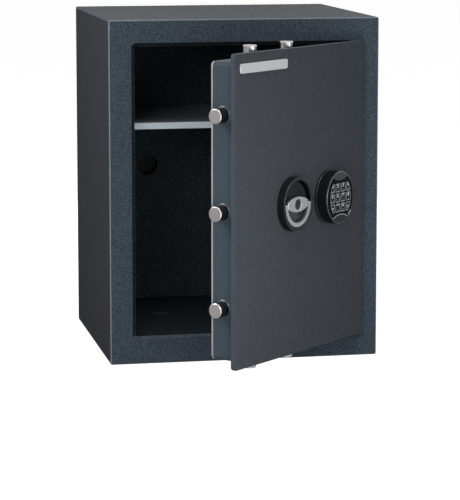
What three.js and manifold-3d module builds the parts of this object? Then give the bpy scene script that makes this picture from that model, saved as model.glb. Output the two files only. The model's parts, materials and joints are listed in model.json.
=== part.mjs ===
// Home safe: a double-walled steel cabinet with a shelf, and a door on concealed swan-neck hinges.
// The door carries a quarter-turn handle with a fold-out ring, a keypad, and a rack and pinion boltwork
// that throws three side bolts, two top bolts and two bottom bolts.
// Millimetres, +Z up, front towards -Y, origin at the centre of the base.
// The door stands open with its bolts thrown.
import * as THREE from 'three';
import { mergeVertices } from 'three/addons/utils/BufferGeometryUtils.js';
import Module from 'manifold-3d';

const wasm = await Module();
wasm.setup();

// Cabinet
const cabinetWidth = 445;
const cabinetDepth = 400;
const cabinetHeight = 560;
const casingWall = 2.5;
const frontWall = 6;
const backWall = 3;
const borderLeft = 37;
const borderRight = 45.5;
const borderTop = 37.5;
const borderBottom = 41;
const openingBevel = 4.5;
const openingCorner = 3;
const seatGap = 0.3;

// Interior
const linerWall = 2;
const linerFlange = 12;
const floorHeight = 41;
const compartmentBack = 168;
const shelfFront = -120;
const shelfBelowTop = 132.2;
const shelfEdge = 10.6;
const shelfSheet = 1.5;
const shelfSideGap = 1;
const railWidth = 14;
const railHeight = 16;
const railSheet = 2;
const anchorHole = 36;
const anchorBolt = 14;
const anchorSpacingX = 202;
const anchorFrontY = -159;
const anchorRearY = 12;
const anchorBackHeight = 280;

// Door
const doorOpenAngle = 43.6;
const plateThickness = 8;
const plateCorner = 4;
const plateBevel = 1;
const overlapSide = 1.5;
const overlapTop = 1;
const overlapBottom = 1;
const panInsetFree = 9.5;
const panInsetHinge = 15.5;
const panInsetBottom = 11.5;
const panInsetTop = 13.5;
const panDepth = 39;
const panWall = 2;
const panCorner = 7;
const coverThickness = 2.7;
const coverPost = 14;
const screwHead = 9;
const screwHeadHeight = 2;
const screwShank = 4;
const screwLength = 9;
const screwChamfer = 1;

// Hinges
const hingeBeyondPlate = 14.5;
const hingeBehindFront = 8.6;
const hingeFromPlateEnd = 94;
const pinDiameter = 6;
const hubDiameter = 10.4;
const armHeight = 30;
const armInner = 21.8;
const armWidth = 7.6;
const armSpokeWidth = 7;
const armSpokeAngle = 70;
const armFootLength = 30;
const bracketLug = 5;
const bracketReach = 7;
const bracketDepth = 30;
const hingeSkin = 3;
const hingeSkinLead = 12;
const armSwingGap = 2;
const runningGap = 0.5;

// Boltwork
const boltThrow = 21;
const boltBehindPlate = 21;
const sideBoltDiameter = 23.5;
const sideBoltLength = 50;
const sideBoltPitch = 148.5;
const boltworkDrop = 1;
const endBoltDiameter = 21.5;
const endBoltLength = 62;
const endBoltsX = [-106, -5.5];
const topBoltProud = 21.5;
const bottomBoltProud = 22.5;
const boltChamfer = 2;
const boltClearance = 2;
const socketClearance = 1.5;
const barThickness = 6;
const barOverrun = 16;
const barPost = 6;
const crossbarHeight = 12;
const pinionTeeth = 16;
const pressureAngle = 20;
const backlash = 0.24;
const rackBack = 8;
const rackLayerGap = 2;
const rackBehindPlate = 3.3;
const rackLead = 8;
const rackRootSkin = 1;

// Lock
const lockWidth = 61;
const lockHeight = 85;
const lockDepth = 30;
const lockBoltWidth = 14;
const lockBoltThickness = 10;
const lockBoltTravel = 9;
const lockBoltLength = 33;
const lockArmRise = 4;
const lockArmHeight = 22;
const cableDiameter = 4;
const cableInsert = 2;
const cableHoleGap = 2;

// Handle
const handleX = -32.4;
const handleDrop = 2;
const housingDiameter = 87;
const housingSquash = 0.95;
const housingHeight = 13;
const housingDraft = 1;
const rimWidth = 4.5;
const rimChamfer = 1;
const rimRound = 0.6;
const dishFloor = 2;
const dishFillet = 3;
const spindleDiameter = 10;
const bushDiameter = 16;
const bushFlange = 20;
const bushFlangeThickness = 1.5;
const spindleTail = 1;
const hubSpan = 71;
const hubHeight = 24;
const hubThickness = 6;
const hubBoss = 20;
const dimpleDiameter = 17;
const dimpleDepth = 4;
const ringOuter = 70.6;
const ringWidth = 6.5;
const ringThickness = 5;
const ringBelowRim = 0.8;
const ringHubGap = 0.8;
const trunnionDiameter = 3;
const trunnionLength = 5;
const trunnionDrop = 0.5;

// Keypad
const keypadX = 73.6;
const keypadDrop = 2;
const keypadHeight = 84.5;
const keypadSquash = 0.923;
const keypadProjection = 22.5;
const keypadBaseHeight = 87.5;
const keypadBaseSquash = 0.955;
const keypadBaseThickness = 4;
const keypadBaseChamfer = 1;
const keypadFlare = 2;
const keypadWall = 2.5;
const keypadFace = 3;
const keypadEdge = 2;
const fieldDepth = 1.2;
const capHeight = 14.5;
const capRadius = 34;
const keyColumns = 4;
const keyRows = 3;
const keyPitchX = 15.4;
const keyPitchZ = 16;
const keyWidth = 12.8;
const keyHeight = 13.8;
const keyCorner = 1.5;
const keyProud = 1.5;
const keyTravel = 1.2;
const keySkirt = 0.8;
const keyMargin = 4;
const boardThickness = 1.6;
const boardGap = 0.3;
const batteryDiameter = 9;
const batteryLength = 44;

// Front badge, blank
const badgeWidth = 128;
const badgeHeight = 15;
const badgeThickness = 1.5;
const badgeFromFreeEdge = 12;
const badgeBelowTop = 23;

// Making the solids: how far a cutter runs past a face, how deep joined solids meet, and sides of circles
const cutOverrun = 1;
const joinOverlap = 0.5;
const smallSides = 16;
const usualSides = 24;
const largeSides = 48;
const arcInset = 1 - Math.SQRT1_2;

// Worked out from the values above
const halfWidth = cabinetWidth / 2;
const frontY = -cabinetDepth / 2;
const rearY = cabinetDepth / 2;
const openingLeft = -halfWidth + borderLeft;
const openingRight = halfWidth - borderRight;
const openingTop = cabinetHeight - borderTop;
const openingBottom = borderBottom;
const revealLeft = openingLeft + openingBevel;
const revealRight = openingRight - openingBevel;
const revealTop = openingTop - openingBevel;
const revealBottom = openingBottom + openingBevel;
const plateLeft = openingLeft - overlapSide;
const plateRight = openingRight + overlapSide;
const plateTop = openingTop + overlapTop;
const plateBottom = openingBottom - overlapBottom;
const plateBack = frontY - seatGap;
const plateFront = plateBack - plateThickness;
const plateMiddle = (plateTop + plateBottom) / 2;
const panLeft = plateLeft + panInsetFree;
const panRight = plateRight - panInsetHinge;
const panBottom = plateBottom + panInsetBottom;
const panTop = plateTop - panInsetTop;
const panFront = plateBack + seatGap;
const panBack = panFront + panDepth;
const coverFront = panBack + seatGap;
const coverBack = coverFront + coverThickness;
const hingeX = plateRight + hingeBeyondPlate;
const hingeY = frontY + hingeBehindFront;
const hingeHeights = [plateBottom + hingeFromPlateEnd, plateTop - hingeFromPlateEnd];
const boltY = plateBack + boltBehindPlate;
const sideBoltHeights = [-1, 0, 1].map((step) => plateMiddle - boltworkDrop + step * sideBoltPitch);
const topBoltTip = panTop + topBoltProud;
const bottomBoltTip = panBottom - bottomBoltProud;
const shelfTop = revealTop - shelfBelowTop;
const handleZ = plateMiddle - handleDrop;
const keypadZ = plateMiddle - keypadDrop;
const badgeCentreZ = plateTop - badgeBelowTop;
const linerFront = frontY + frontWall + seatGap;
const pinionRadius = boltThrow / (Math.PI / 2);
const gearModule = 2 * pinionRadius / pinionTeeth;
const addendum = 0.8 * gearModule;
const dedendum = 1.1 * gearModule;
const sideRackFront = plateBack + rackBehindPlate;
const sideRackBack = sideRackFront + barThickness;
const endRackFront = sideRackBack + rackLayerGap;
const endRackBack = endRackFront + barThickness;
const rimY = plateFront - seatGap - housingHeight;
const hubFront = rimY + ringBelowRim;
const ringInner = ringOuter / 2 - ringWidth;
const keypadFrontY = plateFront - seatGap - keypadProjection;
const keypadBaseFront = plateFront - seatGap - keypadBaseThickness;
const fieldY = keypadFrontY + fieldDepth;
const boardFront = keypadFrontY + keypadFace + keySkirt + keyTravel + boardGap;

// Shapes and solids

function toSolid(geometry) {
  const bare = geometry.clone();
  bare.deleteAttribute('normal');
  bare.deleteAttribute('uv');
  const merged = mergeVertices(bare, 1e-4);
  return new wasm.Manifold(new wasm.Mesh({
    numProp: 3,
    vertProperties: new Float32Array(merged.attributes.position.array),
    triVerts: new Uint32Array(merged.index.array),
  }));
}

function toGeometry(solid) {
  const mesh = solid.getMesh();
  const geometry = new THREE.BufferGeometry();
  geometry.setAttribute('position', new THREE.BufferAttribute(new Float32Array(mesh.vertProperties), 3));
  geometry.setIndex(new THREE.BufferAttribute(new Uint32Array(mesh.triVerts), 1));
  const flat = geometry.toNonIndexed();
  flat.computeVertexNormals();
  return flat;
}

function ordered(a, b) {
  return a < b ? [a, b] : [b, a];
}

function join(...solids) {
  return solids.reduce((sum, solid) => sum.add(solid));
}

function cut(solid, ...tools) {
  return tools.reduce((rest, tool) => rest.subtract(tool), solid);
}

function box(x0, x1, y0, y1, z0, z1) {
  const geometry = new THREE.BoxGeometry(x1 - x0, y1 - y0, z1 - z0);
  geometry.translate((x0 + x1) / 2, (y0 + y1) / 2, (z0 + z1) / 2);
  return toSolid(geometry);
}

// Cylinders along each axis: across runs along X, through along Y, upright along Z.
function across(radius, x0, x1, y, z, segments = usualSides) {
  const geometry = new THREE.CylinderGeometry(radius, radius, x1 - x0, segments);
  geometry.rotateZ(Math.PI / 2);
  geometry.translate((x0 + x1) / 2, y, z);
  return toSolid(geometry);
}

function through(radius, y0, y1, x, z, segments = usualSides) {
  const geometry = new THREE.CylinderGeometry(radius, radius, y1 - y0, segments);
  geometry.translate(x, (y0 + y1) / 2, z);
  return toSolid(geometry);
}

function upright(radius, z0, z1, x, y, segments = usualSides) {
  const geometry = new THREE.CylinderGeometry(radius, radius, z1 - z0, segments);
  geometry.rotateX(Math.PI / 2);
  geometry.translate(x, y, (z0 + z1) / 2);
  return toSolid(geometry);
}

function roundedRectangle(x0, x1, z0, z1, radius) {
  const shape = new THREE.Shape();
  shape.moveTo(x0 + radius, z0);
  shape.lineTo(x1 - radius, z0);
  shape.absarc(x1 - radius, z0 + radius, radius, -Math.PI / 2, 0);
  shape.lineTo(x1, z1 - radius);
  shape.absarc(x1 - radius, z1 - radius, radius, 0, Math.PI / 2);
  shape.lineTo(x0 + radius, z1);
  shape.absarc(x0 + radius, z1 - radius, radius, Math.PI / 2, Math.PI);
  shape.lineTo(x0, z0 + radius);
  shape.absarc(x0 + radius, z0 + radius, radius, Math.PI, Math.PI * 1.5);
  return shape;
}

// A slab from y0 to y1 whose outline is drawn in X and Z.
function slab(shape, y0, y1, curveSegments = 4) {
  const geometry = new THREE.ExtrudeGeometry(shape, { depth: y1 - y0, bevelEnabled: false, curveSegments });
  geometry.rotateX(Math.PI / 2);
  geometry.translate(0, y1, 0);
  return toSolid(geometry);
}

// A disc-like body turned about an axis along Y. The profile holds [radius, y] pairs; squash narrows it in X.
function turned(profile, x, z, squash = 1, segments = largeSides) {
  const points = profile.map(([radius, y]) => new THREE.Vector2(radius, y));
  const geometry = new THREE.LatheGeometry(points, segments);
  geometry.scale(squash, 1, 1);
  geometry.translate(x, 0, z);
  return outward(toSolid(geometry), geometry);
}

// A turned profile may run either way along its axis, so a body that comes out inside out is flipped.
function outward(solid, geometry) {
  if (solid.volume() > 0) return solid;
  const flipped = geometry.clone();
  const index = flipped.index.array;
  for (let i = 0; i < index.length; i += 3) {
    [index[i], index[i + 1]] = [index[i + 1], index[i]];
  }
  return toSolid(flipped);
}

// The box that frames the opening's bevel: wide at the front face, narrow at the reveal.
function bevelledOpening() {
  const straight = slab(
    roundedRectangle(revealLeft, revealRight, revealBottom, revealTop, openingCorner),
    frontY - cutOverrun, frontY + frontWall + cutOverrun,
  );
  const mouth = new THREE.CylinderGeometry(Math.SQRT1_2, Math.SQRT1_2, 1, 4);
  mouth.rotateY(Math.PI / 4);
  const position = mouth.attributes.position;
  const centreX = (openingLeft + openingRight) / 2;
  const centreZ = (openingTop + openingBottom) / 2;
  for (let i = 0; i < position.count; i += 1) {
    const deep = position.getY(i) > 0;
    const grow = deep ? -openingBevel : cutOverrun;
    position.setXYZ(
      i,
      centreX + position.getX(i) * 2 * ((openingRight - openingLeft) / 2 + grow),
      deep ? frontY + openingBevel : frontY - cutOverrun,
      centreZ + position.getZ(i) * 2 * ((openingTop - openingBottom) / 2 + grow),
    );
  }
  return join(straight, toSolid(mouth));
}

// Cabinet pieces

// Room for the bracket and the swinging arm behind the front face, from the given left side.
function hingePocket(z, left) {
  const half = armHeight / 2 + runningGap + bracketLug + seatGap;
  return box(
    left, hingeX + armInner,
    frontY + hingeSkin, hingeY + armInner + armWidth + armSwingGap,
    z - half, z + half,
  );
}

function anchorPlaces() {
  const places = [];
  for (const x of [-anchorSpacingX / 2, anchorSpacingX / 2]) {
    for (const y of [anchorFrontY, anchorRearY]) {
      places.push([x, y]);
    }
  }
  return places;
}

function floorHoles(radius, z0, z1) {
  return anchorPlaces().map(([x, y]) => upright(radius, z0, z1, x, y));
}

function backHoles(radius, y0, y1) {
  return [-anchorSpacingX / 2, anchorSpacingX / 2].map((x) => through(radius, y0, y1, x, anchorBackHeight));
}

function outerCasing() {
  const shell = cut(
    box(-halfWidth, halfWidth, frontY, rearY, 0, cabinetHeight),
    box(
      -halfWidth + casingWall, halfWidth - casingWall,
      frontY + frontWall, rearY + cutOverrun,
      casingWall, cabinetHeight - casingWall,
    ),
  );
  return cut(
    shell,
    bevelledOpening(),
    ...hingeHeights.map((z) => hingePocket(z, hingeX - hingeSkinLead)),
    ...floorHoles(anchorBolt / 2, -cutOverrun, casingWall + cutOverrun),
  );
}

function backPanel() {
  const inset = casingWall + seatGap;
  const panel = box(
    -halfWidth + inset, halfWidth - inset,
    rearY - backWall, rearY,
    inset, cabinetHeight - inset,
  );
  return cut(panel, ...backHoles(anchorBolt / 2, rearY - backWall - cutOverrun, rearY + cutOverrun));
}

function boltSockets(clearance, reach) {
  const side = sideBoltHeights.map((z) => across(
    sideBoltDiameter / 2 + clearance, panLeft - boltThrow - reach, revealLeft + cutOverrun, boltY, z,
  ));
  const top = endBoltsX.map((x) => upright(
    endBoltDiameter / 2 + clearance, revealTop - cutOverrun, topBoltTip + reach, x, boltY,
  ));
  const bottom = endBoltsX.map((x) => upright(
    endBoltDiameter / 2 + clearance, bottomBoltTip - reach, revealBottom + cutOverrun, x, boltY,
  ));
  return [...side, ...top, ...bottom];
}

function innerLiner() {
  const outer = box(
    revealLeft - linerWall, revealRight + linerWall,
    linerFront, compartmentBack + linerWall,
    floorHeight - linerWall, revealTop + linerWall,
  );
  const flange = box(
    revealLeft - linerFlange, revealRight + linerFlange,
    linerFront, linerFront + linerWall,
    floorHeight - linerFlange, revealTop + linerFlange,
  );
  const hollow = box(
    revealLeft, revealRight,
    linerFront - cutOverrun, compartmentBack,
    floorHeight, revealTop,
  );
  return cut(
    join(outer, flange),
    hollow,
    ...hingeHeights.map((z) => hingePocket(z, revealRight - cutOverrun)),
    ...boltSockets(socketClearance, socketClearance),
    ...floorHoles(anchorHole / 2, floorHeight - linerWall - cutOverrun, floorHeight + cutOverrun),
    ...backHoles(anchorHole / 2, compartmentBack - cutOverrun, compartmentBack + linerWall + cutOverrun),
  );
}

function barrierFill() {
  const inset = casingWall + seatGap;
  const block = box(
    -halfWidth + inset, halfWidth - inset,
    linerFront, rearY - backWall - seatGap,
    inset, cabinetHeight - inset,
  );
  const room = linerWall + seatGap;
  const hollow = box(
    revealLeft - room, revealRight + room,
    linerFront - cutOverrun, compartmentBack + room,
    floorHeight - room, revealTop + room,
  );
  const flangeRoom = linerFlange + seatGap;
  const flangeSeat = box(
    revealLeft - flangeRoom, revealRight + flangeRoom,
    linerFront - cutOverrun, linerFront + room,
    floorHeight - flangeRoom, revealTop + flangeRoom,
  );
  return cut(
    block,
    hollow,
    flangeSeat,
    ...hingeHeights.map((z) => hingePocket(z, revealRight - cutOverrun)),
    ...boltSockets(socketClearance, socketClearance),
    ...floorHoles(anchorHole / 2, 0, floorHeight),
    ...backHoles(anchorHole / 2, compartmentBack, rearY),
  );
}

function shelf() {
  const x0 = revealLeft + shelfSideGap;
  const x1 = revealRight - shelfSideGap;
  const rear = compartmentBack - shelfSideGap;
  const tray = box(x0, x1, shelfFront, rear, shelfTop - shelfEdge, shelfTop);
  const underside = box(
    x0 + shelfSheet, x1 - shelfSheet,
    shelfFront + shelfSheet, rear - shelfSheet,
    shelfTop - shelfEdge - cutOverrun, shelfTop - shelfSheet,
  );
  return cut(tray, underside);
}

// An angle rail: one leg on the liner's wall, one under the shelf's folded edge.
function shelfRail(side) {
  const wall = side < 0 ? revealLeft : revealRight;
  const ledge = shelfTop - shelfEdge - seatGap;
  const leg = (from, to) => ordered(wall - side * to, wall - side * from);
  const [a0, a1] = leg(seatGap, seatGap + railSheet);
  const [b0, b1] = leg(seatGap, seatGap + railWidth);
  const rear = compartmentBack - shelfSideGap;
  return join(
    box(a0, a1, shelfFront, rear, ledge - railHeight, ledge),
    box(b0, b1, shelfFront, rear, ledge - railSheet, ledge),
  );
}

function hingeBracket(z) {
  const half = armHeight / 2 + runningGap;
  const front = frontY + hingeSkin + seatGap;
  const left = hingeX - bracketReach;
  const right = hingeX + armInner - seatGap;
  const lugBack = front + bracketDepth / 2;
  const end = half + bracketLug;
  const plate = box(right - bracketLug, right, front, front + bracketDepth, z - end, z + end);
  const upper = box(left, right, front, lugBack, z + half, z + end);
  const lower = box(left, right, front, lugBack, z - end, z - half);
  const bore = upright(pinDiameter / 2 + seatGap, z - end - cutOverrun, z + end + cutOverrun, hingeX, hingeY);
  return cut(join(plate, upper, lower), bore);
}

function hingePin(z) {
  const half = armHeight / 2 + runningGap + bracketLug;
  return upright(pinDiameter / 2, z - half, z + half, hingeX, hingeY);
}

// Door pieces, drawn as they lie with the door closed

function hingeArm(z) {
  const shape = new THREE.Shape();
  const outerRadius = armInner + armWidth;
  const spoke = THREE.MathUtils.degToRad(armSpokeAngle);
  shape.absarc(hingeX, hingeY, outerRadius, spoke, Math.PI);
  shape.lineTo(hingeX - outerRadius, hingeY);
  shape.lineTo(hingeX - armInner, hingeY);
  shape.absarc(hingeX, hingeY, armInner, Math.PI, spoke, true);
  const bend = upstand(shape, z);
  const footFront = panFront + seatGap;
  const foot = box(
    hingeX - outerRadius, hingeX - armInner,
    footFront, footFront + armFootLength,
    z - armHeight / 2, z + armHeight / 2,
  );
  const bar = new THREE.BoxGeometry(outerRadius, armSpokeWidth, armHeight);
  bar.translate(outerRadius / 2, 0, 0);
  bar.rotateZ(spoke);
  bar.translate(hingeX, hingeY, z);
  const hub = upright(hubDiameter / 2, z - armHeight / 2, z + armHeight / 2, hingeX, hingeY);
  const bore = upright(pinDiameter / 2 + seatGap, z - armHeight, z + armHeight, hingeX, hingeY);
  const round = upright(outerRadius, z - armHeight, z + armHeight, hingeX, hingeY, largeSides);
  return cut(join(bend, foot, hub, toSolid(bar).intersect(round)), bore);
}

// An upright prism of the arm's height whose outline is drawn in X and Y.
function upstand(shape, z) {
  const options = { depth: armHeight, bevelEnabled: false, curveSegments: 10 };
  const geometry = new THREE.ExtrudeGeometry(shape, options);
  geometry.translate(0, 0, z - armHeight / 2);
  return toSolid(geometry);
}

function doorPlate() {
  const outline = roundedRectangle(
    plateLeft + plateBevel, plateRight - plateBevel,
    plateBottom + plateBevel, plateTop - plateBevel,
    plateCorner - plateBevel,
  );
  const geometry = new THREE.ExtrudeGeometry(outline, {
    depth: plateThickness - 2 * plateBevel,
    bevelEnabled: true,
    bevelThickness: plateBevel,
    bevelSize: plateBevel,
    bevelSegments: 1,
    curveSegments: 4,
  });
  geometry.rotateX(Math.PI / 2);
  geometry.translate(0, plateBack - plateBevel, 0);
  return cut(
    toSolid(geometry),
    through(bushDiameter / 2 + seatGap, plateFront - cutOverrun, plateBack + cutOverrun, handleX, handleZ),
    through(
      cableDiameter / 2 + cableHoleGap, plateFront - cutOverrun, plateBack + cutOverrun, keypadX, keypadZ,
    ),
  );
}

function coverPostPlaces() {
  const places = [];
  for (const x of [panLeft + panWall + coverPost / 2, panRight - panWall - coverPost / 2]) {
    for (const z of [panBottom + panWall + coverPost / 2, panTop - panWall - coverPost / 2]) {
      places.push([x, z]);
    }
  }
  return places;
}

function panOutline() {
  return roundedRectangle(panLeft, panRight, panBottom, panTop, panCorner);
}

function doorPan() {
  const outer = slab(panOutline(), panFront, panBack);
  const inner = slab(
    roundedRectangle(
      panLeft + panWall, panRight - panWall,
      panBottom + panWall, panTop - panWall,
      panCorner - panWall,
    ),
    panFront - cutOverrun, panBack + cutOverrun,
  );
  const reach = coverPost / 2 + joinOverlap;
  const posts = coverPostPlaces().map(([x, z]) => box(
    x - reach, x + reach, panFront, panBack, z - reach, z + reach,
  ));
  const walls = cut(outer, inner);
  const corners = join(...posts).intersect(outer);
  const sideHoles = sideBoltHeights.map((z) => across(
    sideBoltDiameter / 2 + boltClearance, panLeft - cutOverrun, panLeft + panWall + cutOverrun, boltY, z,
  ));
  const endHoleRadius = endBoltDiameter / 2 + boltClearance;
  const endHoles = endBoltsX.flatMap((x) => [
    upright(endHoleRadius, panTop - panWall - cutOverrun, panTop + cutOverrun, x, boltY),
    upright(endHoleRadius, panBottom - cutOverrun, panBottom + panWall + cutOverrun, x, boltY),
  ]);
  const screwHoles = coverPostPlaces().map(([x, z]) => through(
    screwShank / 2 + seatGap, panBack - screwLength, panBack + cutOverrun, x, z, smallSides,
  ));
  return cut(join(walls, corners), ...sideHoles, ...endHoles, ...screwHoles);
}

function rearCover() {
  const sheet = slab(panOutline(), coverFront, coverBack);
  const holes = coverPostPlaces().map(([x, z]) => through(
    screwShank / 2 + seatGap, coverFront - cutOverrun, coverBack + cutOverrun, x, z, smallSides,
  ));
  return cut(sheet, ...holes);
}

function coverScrew(x, z) {
  const underHead = coverBack + seatGap;
  return turned([
    [0, underHead - screwLength + coverThickness],
    [screwShank / 2, underHead - screwLength + coverThickness],
    [screwShank / 2, underHead],
    [screwHead / 2, underHead],
    [screwHead / 2 - screwChamfer, underHead + screwHeadHeight],
    [0, underHead + screwHeadHeight],
  ], x, z, 1, smallSides);
}

function lockCase() {
  const back = panFront + lockDepth;
  const body = box(
    keypadX - lockWidth / 2, keypadX + lockWidth / 2,
    panFront, back,
    keypadZ - lockHeight / 2, keypadZ + lockHeight / 2,
  );
  const slot = box(
    keypadX - lockBoltWidth / 2 - seatGap, keypadX + lockBoltWidth / 2 + seatGap,
    lockBoltFront() - seatGap, lockBoltFront() + lockBoltThickness + seatGap,
    lockTop() - lockBoltLength, lockTop() + cutOverrun,
  );
  const socket = through(
    cableDiameter / 2 + seatGap, panFront - cutOverrun, panFront + cableInsert + seatGap,
    keypadX, keypadZ, smallSides,
  );
  return cut(body, slot, socket);
}

function lockTop() {
  return keypadZ + lockHeight / 2;
}

function lockBoltFront() {
  return (sideRackFront + sideRackBack) / 2 - lockBoltThickness / 2;
}

function lockArmBottom() {
  return lockTop() + lockArmRise;
}

function lockBolt() {
  const tip = lockArmBottom() - seatGap;
  return box(
    keypadX - lockBoltWidth / 2, keypadX + lockBoltWidth / 2,
    lockBoltFront(), lockBoltFront() + lockBoltThickness,
    tip - lockBoltLength, tip,
  );
}

function lockCable() {
  return through(
    cableDiameter / 2, keypadBaseFront + seatGap, panFront + cableInsert, keypadX, keypadZ, smallSides,
  );
}

function frontBadge() {
  const left = plateLeft + badgeFromFreeEdge;
  const outline = roundedRectangle(
    left, left + badgeWidth,
    badgeCentreZ - badgeHeight / 2, badgeCentreZ + badgeHeight / 2,
    badgeHeight / 4,
  );
  return slab(outline, plateFront - seatGap - badgeThickness, plateFront - seatGap);
}

// Boltwork

// A round bolt along Y, chamfered at its tip, which lies at the origin.
function boltAlongY(diameter, length) {
  const radius = diameter / 2;
  const points = [
    new THREE.Vector2(0, 0),
    new THREE.Vector2(radius - boltChamfer, 0),
    new THREE.Vector2(radius, boltChamfer),
    new THREE.Vector2(radius, length),
    new THREE.Vector2(0, length),
  ];
  return new THREE.LatheGeometry(points, usualSides);
}

function sideBolt(z) {
  const geometry = boltAlongY(sideBoltDiameter, sideBoltLength);
  geometry.rotateZ(-Math.PI / 2);
  geometry.translate(panLeft - boltThrow, boltY, z);
  return outward(toSolid(geometry), geometry);
}

function endBolt(x, tip, direction) {
  const geometry = boltAlongY(endBoltDiameter, endBoltLength);
  geometry.rotateX(direction > 0 ? Math.PI / 2 : -Math.PI / 2);
  geometry.translate(x, boltY, tip);
  return outward(toSolid(geometry), geometry);
}

function involute(angle) {
  return Math.tan(angle) - angle;
}

function pinion() {
  const base = pinionRadius * Math.cos(THREE.MathUtils.degToRad(pressureAngle));
  const tipRadius = pinionRadius + addendum;
  const rootRadius = pinionRadius - dedendum;
  const pitchHalfAngle = Math.PI / (2 * pinionTeeth) - backlash / 2 / pinionRadius;
  const halfAngle = (radius) => pitchHalfAngle
    + involute(THREE.MathUtils.degToRad(pressureAngle))
    - involute(Math.acos(base / Math.max(radius, base)));
  const flank = [rootRadius, base, (base + tipRadius) / 2, tipRadius];
  const shape = new THREE.Shape();
  for (let tooth = 0; tooth < pinionTeeth; tooth += 1) {
    const centre = (tooth + 0.5) * 2 * Math.PI / pinionTeeth;
    const rising = flank.map((radius) => [radius, centre - halfAngle(radius)]);
    const falling = [...flank].reverse().map((radius) => [radius, centre + halfAngle(radius)]);
    for (const [radius, angle] of [...rising, ...falling]) {
      const x = handleX + radius * Math.cos(angle);
      const z = handleZ + radius * Math.sin(angle);
      if (tooth === 0 && radius === rootRadius && angle < centre) shape.moveTo(x, z);
      else shape.lineTo(x, z);
    }
  }
  return cut(
    slab(shape, sideRackFront, endRackBack),
    through(
      spindleDiameter / 2 + seatGap, sideRackFront - cutOverrun, endRackBack + cutOverrun, handleX, handleZ,
    ),
  );
}

// A rack bar from s0 to s1 with teeth on its lower side, one centred at s = 0; its pitch line is at t = 0.
function rackShape(s0, s1, place) {
  const pitch = Math.PI * gearModule;
  const half = pitch / 4 - backlash / 2;
  const slope = Math.tan(THREE.MathUtils.degToRad(pressureAngle));
  const outline = [[s0, rackBack], [s0, dedendum]];
  for (let tooth = Math.ceil(s0 / pitch + 0.5); (tooth + 0.5) * pitch <= s1; tooth += 1) {
    const centre = tooth * pitch;
    outline.push([centre - half - dedendum * slope, dedendum]);
    outline.push([centre - half + addendum * slope, -addendum]);
    outline.push([centre + half - addendum * slope, -addendum]);
    outline.push([centre + half + dedendum * slope, dedendum]);
  }
  outline.push([s1, dedendum]);
  outline.push([s1, rackBack]);
  const shape = new THREE.Shape();
  outline.forEach(([s, t], i) => {
    const [x, z] = place(s, t);
    if (i === 0) shape.moveTo(x, z);
    else shape.lineTo(x, z);
  });
  return shape;
}

function sideBoltBar() {
  const postLeft = panLeft - boltThrow + sideBoltLength + seatGap;
  const post = box(
    postLeft, postLeft + barPost,
    sideRackFront, boltY + sideBoltDiameter / 2,
    sideBoltHeights[0] - barOverrun, sideBoltHeights[sideBoltHeights.length - 1] + barOverrun,
  );
  const pitchZ = handleZ + pinionRadius;
  const rack = slab(
    rackShape(-boltThrow - rackLead, rackLead, (s, t) => [handleX + s, pitchZ + t]),
    sideRackFront, sideRackBack,
  );
  const riserRight = keypadX - lockWidth / 2 - boltThrow - barThickness / 2;
  const back = box(
    postLeft, riserRight,
    sideRackFront, sideRackBack,
    pitchZ + dedendum + rackRootSkin, pitchZ + rackBack,
  );
  const riser = box(
    riserRight - lockArmHeight / 2, riserRight,
    sideRackFront, sideRackBack,
    pitchZ + dedendum + rackRootSkin, lockArmBottom() + lockArmHeight,
  );
  const arm = box(
    riserRight - lockArmHeight / 2, keypadX + lockBoltWidth,
    sideRackFront, sideRackBack,
    lockArmBottom(), lockArmBottom() + lockArmHeight,
  );
  const notches = [0, -boltThrow].map((shift) => box(
    keypadX + shift - lockBoltWidth / 2 - runningGap, keypadX + shift + lockBoltWidth / 2 + runningGap,
    sideRackFront - cutOverrun, sideRackBack + cutOverrun,
    lockArmBottom() - cutOverrun, lockArmBottom() + lockBoltTravel + runningGap,
  ));
  return cut(join(post, rack, back, riser, arm), ...notches);
}

// The top and bottom bars are alike: a rack beside the pinion, a strip, and a crossbar at the bolts' ends.
function endBoltBar(direction, tip) {
  const pitchX = handleX + direction * pinionRadius;
  const rackShapeHere = rackShape(
    -boltThrow - rackLead, rackLead,
    (s, t) => [pitchX + direction * t, handleZ - direction * s],
  );
  const rack = orientedSlab(rackShapeHere, endRackFront, endRackBack);
  const end = tip - direction * (endBoltLength + seatGap);
  const [low, high] = ordered(end - direction * crossbarHeight, end);
  const crossbar = box(
    endBoltsX[0] - endBoltDiameter / 2, endBoltsX[1] + endBoltDiameter / 2,
    endRackFront, boltY + endBoltDiameter / 2,
    low, high,
  );
  const [x0, x1] = ordered(pitchX + direction * (dedendum + rackRootSkin), pitchX + direction * rackBack);
  const [z0, z1] = ordered(handleZ - direction * rackLead, end - direction * crossbarHeight / 2);
  const strip = box(x0, x1, endRackFront, endRackBack, z0, z1);
  return join(rack, crossbar, strip);
}

// An outline drawn the other way round is reversed before it becomes a slab.
function orientedSlab(shape, y0, y1) {
  const points = shape.getPoints();
  if (THREE.ShapeUtils.isClockWise(points)) points.reverse();
  return slab(new THREE.Shape(points), y0, y1);
}

// Handle

function handleHousing() {
  const outer = housingDiameter / 2;
  const back = plateFront - seatGap;
  const innerRadius = outer - housingDraft - rimWidth;
  const floor = back - dishFloor;
  const bore = spindleDiameter / 2 + seatGap;
  return turned([
    [bore, back],
    [outer, back],
    [outer - housingDraft, rimY + rimChamfer],
    [outer - housingDraft - rimChamfer, rimY],
    [innerRadius + rimRound, rimY],
    [innerRadius, rimY + rimRound],
    [innerRadius, floor - dishFillet],
    [innerRadius - dishFillet * arcInset, floor - dishFillet * arcInset],
    [innerRadius - dishFillet, floor],
    [bore, floor],
    [bore, back],
  ], handleX, handleZ, housingSquash);
}

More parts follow.
